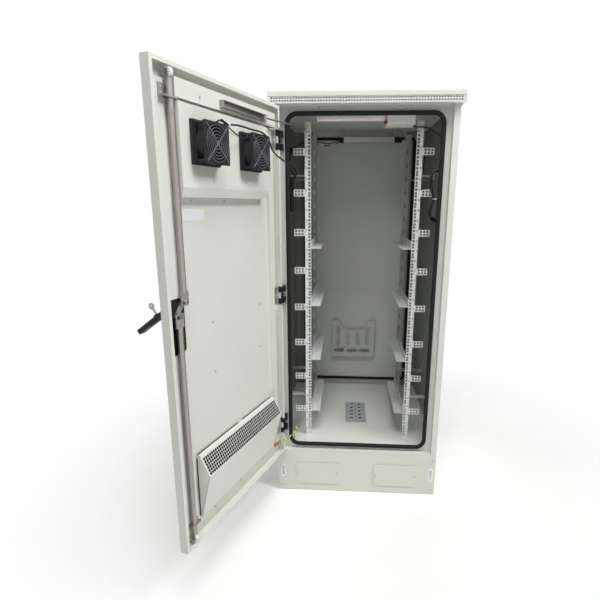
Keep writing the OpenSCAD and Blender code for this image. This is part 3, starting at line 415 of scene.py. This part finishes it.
def bulb_seal(name, half, low, high, radius, wide, tall, back, finish, sides=24, ribs=8):
    """A rubber bulb seal: a D shaped profile, squared off by powers of its sine and cosine, with fine ribs
    that take a twentieth off its width, carried round a rounded frame."""
    line, out = round_frame(half, low, high, radius)
    turn = np.arange(sides) * 2 * math.pi / sides
    across = wide / 2 * squared(np.cos(turn), 0.8)
    height = tall / 2 * (1 + squared(np.sin(turn), 0.55))
    across = across * (1 - 0.05 * np.cos(ribs * turn) ** 2)
    x = line[:, None, 0] + out[:, None, 0] * across
    z = line[:, None, 1] + out[:, None, 1] * across
    y = back - np.broadcast_to(height, x.shape)
    return skin(name, np.stack([x, y, z], -1), finish, wrap_u=True, wrap_v=True)


def fit(piece, body):
    """A piece that rides on a body."""
    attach(piece, body)
    return piece


# Cords: their diameters, and for each a side that it never runs along. The earth wire, the fan cable and the
# start of the lamp lead follow the CAD routes
EARTH_WIDE, CABLE_WIDE, BAR_WIDE, TAIL_WIDE = 0.005, 0.006, 0.0052, 0.004
EARTH_SIDE, FAN_SIDE = (0.55, 0.2, -0.8), (0.9, -0.2, 0.35)
LAMP_SIDE, BAR_SIDE = (0.05, 1.0, 0.02), (0.5, -0.3, 0.8)

earth_run = eased(np.concatenate([
    on_door([0.054, 0.052, 0.042], [0.015, 0.028, 0.060], [0.2852, 0.298, 0.314]),
    [(-0.288, -0.420, 0.330), (-0.292, -0.380, 0.328), (-0.298, -0.344, 0.308), (-0.306, -0.330, 0.272),
     (-0.306, -0.328, 0.243)]]))
fan_run = eased(np.concatenate([
    on_door([0.487, 0.463, 0.423, 0.357, 0.285, 0.215, 0.165, 0.115],
            [0.072, 0.074, 0.070, 0.068, 0.072, 0.074, 0.070, 0.066],
            [1.606, 1.616, 1.611, 1.617, 1.615, 1.613, 1.593, 1.553]),
    [(-0.278, -0.436, 1.503), (-0.286, -0.384, 1.471), (-0.292, -0.330, 1.473), (-0.308, -0.270, 1.503),
     (-0.339, -0.190, 1.527), (-0.348, -0.148, 1.525), (-0.349, -0.134, 1.505)]]))

# The hank of lamp lead: its middle, top and tie, the step from turn to turn, and how the tie draws it in
HANK = np.array((0.318, -0.300, 0.0))
HANK_FRONT, HANK_TOP, HANK_STEP = -0.026, 1.478, 0.0065
TIE_Y, TIE_Z = -0.013, 1.390
NECK, NECK_TALL = 0.52, 0.036


def hank(reach, low, high, gap, tie, straight=14, bend=11):
    """Turns of lead laid one behind the next: down one side, round, up the other and round to the next turn.
    Each turn has its own half width and ends, and a bell curve of the height draws the sides in at the tie.
    Straight and bend count the points on a side and on a bend."""
    reach, low, high = (np.asarray(v, float)[:, None] for v in (reach, low, high))
    after = np.concatenate([np.arange(1, len(reach)), [len(reach) - 1]])
    t = np.linspace(0, 1, straight)[None, :]
    bow = np.linspace(0, math.pi, bend + 2)[None, 1:-1]
    part = (1 - np.cos(bow)) / 2
    z = np.concatenate([high + (low - high) * t, low - reach * np.sin(bow), low + (high - low) * t,
                        high + (high[after] - high) * part + (reach + reach[after]) / 2 * np.sin(bow)], 1)
    x = np.concatenate([reach + 0 * t, reach * np.cos(bow), -reach + 0 * t,
                        -reach + (reach[after] + reach) * part], 1)
    x = x * (1 - NECK * np.exp(-((z - tie) / NECK_TALL) ** 2))
    back = np.concatenate([np.zeros(2 * straight + bend), np.linspace(0, 1, bend + 2)[1:-1]])
    y = (np.arange(len(reach))[:, None] + back[None, :]) * gap
    loop = np.stack([x.ravel(), y.ravel(), z.ravel()], -1)
    return loop[:len(loop) - bend]


lead_in = eased([(0.205, -0.302, 1.686), (0.222, -0.303, 1.683), (0.252, -0.306, 1.681),
                 (0.284, -0.316, 1.668), (0.324, -0.326, 1.632), (0.344, -0.328, 1.572),
                 (0.347, -0.326, HANK_TOP)])
turn_half = [0.0290, 0.0275, 0.0285, 0.0270, 0.0280]
turn_low = [1.322, 1.334, 1.325, 1.336, 1.329]
spare = HANK + (0, HANK_FRONT, 0) + hank(turn_half, turn_low, [HANK_TOP] * len(turn_low), HANK_STEP, TIE_Z)
lead_run = np.concatenate([lead_in[:-1], spare])

# Earth wire, between a fixed place in the cabinet and one that moves with the door
EARTH_FIXED, EARTH_MOVED = (-0.290, -0.385, 0.328), tuple(on_door(0.048, 0.040, 0.305))
earth_wire = sweep("earth_bonding_wire", earth_run, EARTH_WIDE / 2, earth, EARTH_SIDE)
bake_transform(earth_wire)
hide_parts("earth_wire")

# Fan cable, past the hinge to the terminal box
FAN_FIXED, FAN_MOVED = (-0.290, -0.350, 1.480), tuple(on_door(0.115, 0.066, 1.553))
fan_cable = sweep("fan_supply_cable", fan_run, CABLE_WIDE / 2, sleeve, FAN_SIDE)
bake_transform(fan_cable)
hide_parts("fan_cable")

# Lamp lead, and the tie round its hank: a flat band carried round a squared oval
TIE_SIDES, TIE_POWER = 28, 0.7
TIE_HALF_X, TIE_HALF_Y = 0.0176, 0.0180
BAND_HALF, BAND_THICK = 0.0025, 0.0012
lamp_lead = sweep("lamp_lead", lead_run, CABLE_WIDE / 2, sleeve, LAMP_SIDE)
tie_turn = np.linspace(0, 2 * math.pi, TIE_SIDES + 1)[:-1]
tie_line = HANK + (0, TIE_Y, TIE_Z) + np.stack(
    [TIE_HALF_X * squared(np.cos(tie_turn), TIE_POWER), TIE_HALF_Y * squared(np.sin(tie_turn), TIE_POWER),
     0 * tie_turn], -1)
tie_mid = tie_line.mean(axis=0)
tie_out = (tie_line - tie_mid) / np.linalg.norm(tie_line - tie_mid, axis=1)[:, None]
band = np.array([(-BAND_HALF, 0.0), (BAND_HALF, 0.0), (BAND_HALF, BAND_THICK), (-BAND_HALF, BAND_THICK)])
lead_tie = skin("hank_tie", tie_line[:, None] + band[None, :, 1:] * tie_out[:, None]
                + band[None, :, :1] * UP, nylon, wrap_u=True, wrap_v=True)
fit(lamp_lead, "cabinet")
fit(lead_tie, "cabinet")
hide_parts("power_lead")

# Two leads from the bar at the back, along the left wall to the terminal box
MARK_LONG, MARK_RADIUS, MARK_POINTS = 0.026, 0.0042, 7


def bar_lead(name, start, drop, end, marks=()):
    """A lead from the bar to the terminal box: an eased curve along the wall, lowered by a set drop except at
    its two ends. White marker sleeves sit at the given distances from its start."""
    run = eased(np.array([start, (-0.140, 0.314, 1.703), (-0.175, 0.309, 1.694), (-0.215, 0.304, 1.700),
                          (-0.262, 0.296, 1.706), (-0.310, 0.270, 1.700), (-0.345, 0.210, 1.676),
                          (-0.357, 0.120, 1.640), (-0.358, 0.030, 1.600), (-0.354, -0.050, 1.560),
                          (-0.350, end + 0.008, 1.532), (-0.349, end, 1.501)])
                - np.array([0] + [drop] * 9 + [0, 0])[:, None] * UP)
    lead = fit(sweep(name, run, BAR_WIDE / 2, sleeve, BAR_SIDE), "cabinet")
    for count, at in enumerate(marks):
        mark_run = part_of(run, at, at + MARK_LONG, MARK_POINTS)
        mark = sweep("%s_mark_%d" % (name, count + 1), mark_run, MARK_RADIUS, nylon, BAR_SIDE)
        fit(mark, "cabinet")


bar_lead("bar_lead_upper", (-0.110, 0.319, 1.716), 0.0, -0.100)
bar_lead("bar_lead_lower", (-0.110, 0.319, 1.705), 0.010, -0.084, (0.032, 0.096))

# Lead of the right hand fan, from the joiner on the fan cable
fan_tail = eased(on_door([0.437, 0.418, 0.390, 0.358, 0.330, 0.316, 0.308],
                         [0.0715, 0.078, 0.081, 0.080, 0.077, 0.074, 0.072],
                         [1.6095, 1.596, 1.584, 1.578, 1.583, 1.594, 1.601]))
tail = fit(sweep("right_fan_lead", fan_tail, TAIL_WIDE / 2, sleeve, FAN_SIDE), "door")

# Seals round the front opening and the back panel
front_seal = bulb_seal("front_door_seal", half=0.317, low=0.240, high=1.724, radius=0.041, wide=0.018,
                       tall=0.015, back=FRAME, finish=rubber)
fit(front_seal, "cabinet")
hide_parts("door_gasket")
back_seal = bulb_seal("back_panel_seal", half=0.3145, low=0.2675, high=1.7305, radius=0.0225, wide=0.015,
                      tall=0.010, back=BACK_SHEET, finish=rubber)
fit(back_seal, "cabinet")
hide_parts("rear_gasket")


def swollen(radius, more, start, end, count):
    """Radii along a piece that swells in its middle, by the sine of angles from start to end."""
    return radius + more * np.sin(np.linspace(start, end, count))


# Earth stud on the door, the crimp on the wire and the lug on its end
CRIMP_POINTS, LUG_POINTS = 15, 9
stud = lathe("earth_stud", on_door(0.054, 0.002, 0.278), INWARD,
             [(0.0, 0.0095), (0.0035, 0.0095), (0.0038, 0.0075), (0.0085, 0.0075), (0.009, 0.0045),
              (0.0165, 0.0045), (0.017, 0.0035)], brass)
fit(stud, "door")
crimp = sweep("earth_crimp", part_of(earth_run, 0.13, 0.165, CRIMP_POINTS),
              swollen(0.0034, 0.0012, 0.3, 2.6, CRIMP_POINTS), crimp_yellow, EARTH_SIDE)
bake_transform(crimp)
lug = sweep("earth_lug", part_of(earth_run, 0.0, 0.02, LUG_POINTS),
            swollen(0.0030, 0.0008, 0.2, 2.9, LUG_POINTS), brass, EARTH_SIDE)
fit(lug, "door")

# Joiner on the fan cable, ridged by a cosine, and a tie
JOINT_POINTS, TAG_POINTS, JOINT_RADIUS = 11, 5, 0.0042
ridges = 0.0006 * np.cos(np.linspace(0, 9.4, JOINT_POINTS))
joiner = sweep("fan_cable_joiner", part_of(fan_run, 0.030, 0.060, JOINT_POINTS), JOINT_RADIUS + ridges, black,
               FAN_SIDE)
fit(joiner, "door")
tag = sweep("fan_cable_tie", part_of(fan_run, 0.070, 0.078, TAG_POINTS), JOINT_RADIUS, nylon, FAN_SIDE)
fit(tag, "door")


def plate(name, corner_a, corner_b, radius, n, thick, finish, steps=6, bevel=0.3, inset=0.9):
    """A thin plate on the door with round corners: its outline, drawn in by a bevel that is a share of its
    thickness, then by a share of the corner's radius, and closed by one face."""
    (u0, z0), (u1, z1) = corner_a, corner_b
    line, out = round_frame((u1 - u0) / 2, z0, z1, radius, steps)
    ring = np.array([(0.0, 0.0), (0.0, thick * (1 - bevel)), (-thick * bevel, thick),
                     (-radius * inset, thick)])
    u = (u0 + u1) / 2 + line[None, :, 0] + ring[:, None, 0] * out[None, :, 0]
    z = line[None, :, 1] + ring[:, None, 0] * out[None, :, 1]
    return skin(name, on_door(u, n + np.broadcast_to(ring[:, None, 1], u.shape), z)[:, ::-1], finish,
                wrap_v=True, caps=True)


blank = plate("blank_label", (0.478, 1.317), (0.582, 1.353),
              radius=0.003, n=0.002, thick=0.0006, finish=label)
fit(blank, "door")

# Filter hood: a folded sheet with a steep punched face, two cheeks, a lip and a finger tab. Its ends are
# distances along the door, and its foot, fold and top are (inward, height) points, in metres
HOOD_U = (0.0845, 0.596)
HOOD_FOOT, HOOD_FOLD, HOOD_TOP = (0.0125, 0.2925), (0.056, 0.463), (0.018, 0.533)
HOOD_SHEET, HOOD_SKIRT, LIP_BACK = 0.002, 0.264, 0.009
# How far the corner over the skirt is lowered, and the lip's lower edge drawn in
SKIRT_EASE, LIP_EASE = 0.001, 0.0015
# The grille: its holes across and down, their share of the pitch, its bare margins and its sheet
HOOD_COLS, HOOD_ROWS, HOOD_HOLE = 46, 6, 0.87
GRILLE_END, GRILLE_HEAD, GRILLE_FOOT, GRILLE_SHEET = 0.007, 0.012, 0.002, 0.0008
# The finger tab, from the middle of the hood and from its top
TAB_HALF, TAB_DOWN, TAB_UP = 0.014, 0.008, 0.011
# The mat behind the grille, nearly black as painted shade in its holes: its margins, and its two faces from
# the face of the hood
MAT_END, MAT_EDGE, MAT_FRONT, MAT_BACK = 0.004, 0.006, 0.003, 0.005
# The margin of the filter's black edge at both ends. The black edge also stands in for the shadow in the slot
# behind the hood's lip: painted shade
EDGE_END = 0.006


def folded(name, line, ends, finish):
    """A piece of folded sheet: a closed outline of (inward, height) points carried along the door."""
    line = np.asarray(line, float)
    return skin(name, on_door(np.asarray(ends)[:, None], line[None, :, 0], line[None, :, 1]), finish,
                wrap_v=True, caps=True, smooth=False)


def punched_sheet(name, across, down, place, thick, finish):
    """A sheet on a grid of lines, where every second cell both ways is a square hole. Faces cover the solid
    cells on both sides, and walls stand where a solid cell meets a hole or the edge."""
    cols, rows = len(across), len(down)
    u, s = np.meshgrid(across, down, indexing="ij")
    points = np.concatenate([place(u, s, 0.0).reshape(-1, 3), place(u, s, thick).reshape(-1, 3)])
    back = cols * rows
    at = lambda a, b: a * rows + b
    i, j = np.meshgrid(np.arange(cols - 1), np.arange(rows - 1), indexing="ij")
    solid = (i % 2 == 0) | (j % 2 == 0)
    front = np.stack([at(i, j), at(i + 1, j), at(i + 1, j + 1), at(i, j + 1)], -1)[solid]
    whole = np.pad(solid, 1).astype(int)
    step_u, step_s = np.diff(whole, axis=0)[:, 1:-1], np.diff(whole, axis=1)[1:-1]
    a, b = np.nonzero(step_u)
    wall_u = np.stack([at(a, b), at(a, b + 1), at(a, b + 1) + back, at(a, b) + back], -1)
    wall_u = np.where((step_u[a, b] > 0)[:, None], wall_u[:, ::-1], wall_u)
    a, b = np.nonzero(step_s)
    wall_s = np.stack([at(a, b), at(a + 1, b), at(a + 1, b) + back, at(a, b) + back], -1)
    wall_s = np.where((step_s[a, b] > 0)[:, None], wall_s, wall_s[:, ::-1])
    return shell(name, points, np.concatenate([front[:, ::-1], front + back, wall_u, wall_s]), finish, False)


def hood_lines(start, end, first, last, count):
    """Grid lines of a punched sheet: its two edges, and the two sides of each hole between first and last."""
    pitch = (last - first) / count
    mid = first + (np.arange(count) + 0.5) * pitch
    holes = mid[:, None] + np.array((-0.5, 0.5)) * HOOD_HOLE * pitch
    return np.concatenate([[start], holes.ravel(), [end]])


def on_hood(u, s, t):
    """Points of the hood's face: u along the door, s down the slope from its top, t inwards from the face."""
    top, fold = np.array(HOOD_TOP), np.array(HOOD_FOLD)
    down = (fold - top) / np.linalg.norm(fold - top)
    return on_door(u, top[0] + s * down[0] + t * down[1], top[1] + s * down[1] - t * down[0])


foot_n, foot_z = HOOD_FOOT
fold_n, fold_z = HOOD_FOLD
top_n, top_z = HOOD_TOP
hood_run = float(np.hypot(fold_n - top_n, fold_z - top_z))
hood_mid = sum(HOOD_U) / 2
hood_grille = punched_sheet(
    "hood_grille", hood_lines(*HOOD_U, HOOD_U[0] + GRILLE_END, HOOD_U[1] - GRILLE_END, HOOD_COLS),
    hood_lines(0.0, hood_run, GRILLE_HEAD, hood_run - GRILLE_FOOT, HOOD_ROWS),
    on_hood, GRILLE_SHEET, door_paint)
filter_hood = folded("filter_hood", [
    (2 * HOOD_SHEET, HOOD_SKIRT), (2 * HOOD_SHEET, foot_z - SKIRT_EASE), HOOD_FOOT, HOOD_FOLD,
    (fold_n - HOOD_SHEET, fold_z), (foot_n - HOOD_SHEET / 2, foot_z + HOOD_SHEET),
    (HOOD_SHEET, foot_z + HOOD_SHEET), (HOOD_SHEET, HOOD_SKIRT)], HOOD_U, door_paint)
cheek = [(HOOD_SHEET, foot_z), HOOD_FOOT, HOOD_FOLD, HOOD_TOP, (HOOD_SHEET, top_z)]
hood_cheeks = [folded("hood_cheek_" + side, cheek, (u, u + HOOD_SHEET), door_paint)
               for side, u in (("hinge", HOOD_U[0]), ("lock", HOOD_U[1] - HOOD_SHEET))]
hood_lip = folded("hood_lip", [(LIP_BACK, top_z), HOOD_TOP, (top_n - LIP_EASE, top_z - HOOD_SHEET),
                               (LIP_BACK, top_z - HOOD_SHEET)], HOOD_U, door_paint)
hood_tab = plate("hood_tab", (hood_mid - TAB_HALF, top_z - TAB_DOWN), (hood_mid + TAB_HALF, top_z + TAB_UP),
                 radius=0.005, n=0.0105, thick=0.002, finish=door_paint)
for piece in [hood_grille, filter_hood, hood_lip, hood_tab] + hood_cheeks:
    fit(piece, "door")
filter_edge_painted_shade = folded("filter_edge_painted_shade", [(0.0028, 0.5208), (0.0076, 0.5208), (0.0076, 0.5322), (0.0028, 0.5322)],
                     (HOOD_U[0] + EDGE_END, HOOD_U[1] - EDGE_END), black)
fit(filter_edge_painted_shade, "filter")
mat_lines = on_hood(np.array(HOOD_U)[:, None] + np.array((MAT_END, -MAT_END))[:, None],
                    np.array((MAT_EDGE, hood_run - MAT_EDGE, hood_run - MAT_EDGE, MAT_EDGE))[None, :],
                    np.array((MAT_FRONT, MAT_FRONT, MAT_BACK, MAT_BACK))[None, :])
fit(skin("grille_mat_painted_shade", mat_lines, fleece_shade, wrap_v=True, caps=True, smooth=False), "door")
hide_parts("filter_cover")
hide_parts("filter_grille")

# Sill under the fan box: a steep nosing over the sloped fold, with the screwed flange in its shade
sill_line = [(0.0403, 1.4152), (0.0330, 1.3876), (0.0041, 1.3870), (0.0041, 1.3859), (0.0400, 1.4139)]
fit(folded("fan_box_sill", sill_line, (0.1242, 0.6118), door_paint), "door")


def block(name, low, high, finish, sharp, rows=21, sides=32, pole=0.02):
    """A moulded block with round edges: a superellipsoid, where powers of sine and cosine square a ball off.
    It stops a small angle short of its poles, where a face closes it."""
    low, high = np.asarray(low, float), np.asarray(high, float)
    rise = np.linspace(-math.pi / 2 + pole, math.pi / 2 - pole, rows)[:, None]
    turn = (np.arange(sides) * 2 * math.pi / sides)[None, :]
    ball = np.stack([squared(np.cos(rise), sharp) * squared(np.cos(turn), sharp),
                     squared(np.cos(rise), sharp) * squared(np.sin(turn), sharp),
                     squared(np.sin(rise), sharp) + 0 * turn], -1)
    return skin(name, (low + high) / 2 + ball * (high - low) / 2, finish, wrap_v=True, caps=True)


# Bar clips and covers, wall saddles and the red lamp connector, each between two corners
SOFT, CRISP = 0.28, 0.1
for name, low, high, finish, sharp, slot in (
        ("bar_clip_left", (-0.114, 0.306, 1.699), (-0.087, 0.332, 1.727), black, SOFT, "black_plastic"),
        ("bar_cover", (-0.086, 0.3025, 1.7125), (0.187, 0.3065, 1.7265), white, CRISP, "white_plastic"),
        ("bar_cover_low", (-0.086, 0.3025, 1.6995), (0.187, 0.3065, 1.7105), opal, CRISP, "white_plastic"),
        ("bar_clip_right", (0.188, 0.306, 1.699), (0.234, 0.332, 1.727), black, SOFT, "black_plastic"),
        ("wall_saddle_back", (-0.373, 0.112, 1.622), (-0.3535, 0.128, 1.650), black, SOFT, "black_plastic"),
        ("wall_saddle_front", (-0.373, 0.022, 1.583), (-0.3545, 0.038, 1.609), black, SOFT, "black_plastic"),
        ("lamp_connector", (0.080, -0.346, 1.690), (0.0945, -0.330, 1.702), red, SOFT, "black_plastic")):
    fit(block(name, low, high, finish, sharp), "cabinet")

# Lifting slots, each an upright oval on both sides of the middle
SLOT_X, SLOT_HALF, SLOT_LOW, SLOT_HIGH = 0.354, 0.007, 0.074, 0.134


def slot_cup(name, x, finish, steps=9):
    """A nylon cup in a lifting slot: a profile with a flange in front, a wall and a floor 12 mm in, as
    (outward, depth) pairs, carried round the oval. The oval's ends are half circles, so of the two points
    that meet at the top and at the foot one is left out."""
    oval = round_frame(SLOT_HALF, SLOT_LOW, SLOT_HIGH, SLOT_HALF, steps)
    line, out = (np.delete(v, (steps, 3 * steps), axis=0) for v in oval)
    prof = np.array([(-0.0069, 0.0120), (-0.0016, 0.0120), (-0.0016, -0.0006), (-0.0010, -0.0014),
                     (0.0034, -0.0014), (0.0042, -0.0006), (0.0042, 0.0), (-0.0001, 0.0), (-0.0001, 0.0135),
                     (-0.0069, 0.0135)])
    grid = np.stack([x + line[:, None, 0] + out[:, None, 0] * prof[None, :, 0],
                     FRONT + np.broadcast_to(prof[None, :, 1], (len(line), len(prof))),
                     line[:, None, 1] + out[:, None, 1] * prof[None, :, 0]], -1)
    fit(skin(name, grid, finish, wrap_u=True, wrap_v=True), "cabinet")


slot_cup("slot_liner_left", -SLOT_X, nylon)
slot_cup("slot_liner_right", SLOT_X, nylon)

# Rubber plugs in the glands, black: painted shade for the glands' dark bores. Low domes, each a small turned
# profile, in two rows of five
PLUG_X, PLUG_Y, PLUG_Z, PLUG_PITCH, PLUG_SIDES = 0.021, -0.035, 0.2405, 0.041, 20
plug = [(0.0, 0.0103), (0.004, 0.0103), (0.0052, 0.008), (0.0058, 0.003)]
for row, y in enumerate(PLUG_Y + PLUG_PITCH * np.arange(-2, 3)):
    for side, x in (("left", -PLUG_X), ("right", PLUG_X)):
        fit(lathe("gland_plug_%s_%d" % (side, row + 1), (x, y, PLUG_Z), UP, plug, rubber, PLUG_SIDES),
            "cabinet")


# Floor, light and world
def seen_plainly(tree):
    """One for rays from the camera, off a glossy face or through a clear one, and nought for the rest."""
    ray = add(tree, "LightPath")
    first = add(tree, "Math", [(0, ray.outputs["Is Camera Ray"]), (1, ray.outputs["Is Glossy Ray"])],
                operation="MAXIMUM")
    both = add(tree, "Math", [(0, first.outputs["Value"]), (1, ray.outputs["Is Transmission Ray"])],
               operation="MAXIMUM")
    return both.outputs["Value"]


def paper_floor(name, shade, tone):
    """Matt white paper: it takes the shadow near the cabinet, and fades to plain white further off."""
    material, tree, main, spot = shader(name, Roughness=0.9, Specular_IOR_Level=0.2)
    fibre = add(tree, "TexNoise", [("Vector", spot)], Scale=METRE / FLOOR_CLOUD, Detail=3.0)
    mixed = add(tree, "MixRGB", [("Fac", fibre.outputs["Fac"])], Color1=linear(shade), Color2=linear(tone))
    feed(tree, main, Base_Color=mixed.outputs["Color"])
    off = add(tree, "VectorMath", [(0, spot)], operation="LENGTH")
    fade = add(tree, "MapRange", [("Value", off.outputs["Value"])], From_Min=0.6, From_Max=1.8,
               interpolation_type="SMOOTHSTEP")
    share = add(tree, "Math", [(0, seen_plainly(tree)), (1, fade.outputs["Result"])], operation="MULTIPLY")
    plain = add(tree, "Emission", Color=(1, 1, 1, 1), Strength=1.0)
    either = add(tree, "MixShader", [("Fac", share.outputs["Value"]), (1, main.outputs["BSDF"]),
                                     (2, plain.outputs["Emission"])])
    feed(tree, tree.nodes["Material Output"], Surface=either.outputs["Shader"])
    return material


FLOOR_HALF = 40
floor_corners = FLOOR_HALF * np.array([[(-1, -1, 0), (1, -1, 0)], [(-1, 1, 0), (1, 1, 0)]], float)
floor = skin("floor", floor_corners, paper_floor("floor_paper", "#f6f6f4", "#fdfdfc"))


def soft_box(name, at, aim, size, watts):
    """A rectangular studio light turned to its aim."""
    lamp = bpy.data.lights.new(name, "AREA")
    lamp.shape = "RECTANGLE"
    lamp.size, lamp.size_y = size
    lamp.energy = watts
    box = bpy.data.objects.new(name, lamp)
    scene.collection.objects.link(box)
    box.location = at
    box.rotation_euler = (Vector(aim) - Vector(at)).to_track_quat("-Z", "Y").to_euler()


# Each light's place, aim, size and power
for light in (
        ("key_light", (0.2, -2.2, 4.7), (0, -0.4, 0.4), (1.8, 1.4), 96),
        ("door_light", (2.5, -1.5, 4.0), (-0.45, -0.75, 0.9), (1.2, 1.2), 96),
        ("fill_light", (-1.0, -4.4, 4.0), (0.0, -0.4, 0.7), (2.4, 2.0), 38),
        ("side_light", (-3.6, 1.0, 1.5), (-0.4, -0.2, 0.9), (2.2, 2.0), 60),
        ("back_light", (0.8, 3.8, 1.5), (0, 0.4, 0.9), (2.2, 2.0), 50)):
    soft_box(*light)

# A dim cool sky lights the shadows, and what is seen of it is plain white
world = bpy.data.worlds.new("world")
scene.world = world
world.use_nodes = True
sky = world.node_tree
ambient = sky.nodes["Background"]
ambient.inputs["Color"].default_value = (0.86, 0.88, 0.90, 1)
ambient.inputs["Strength"].default_value = 0.09
backdrop = add(sky, "Background", Color=(1, 1, 1, 1), Strength=1.0)
either = add(sky, "MixShader", [("Fac", seen_plainly(sky)), (1, ambient.outputs["Background"]),
                                (2, backdrop.outputs["Background"])])
feed(sky, sky.nodes["World Output"], Surface=either.outputs["Shader"])
scene.view_settings.view_transform = "Standard"
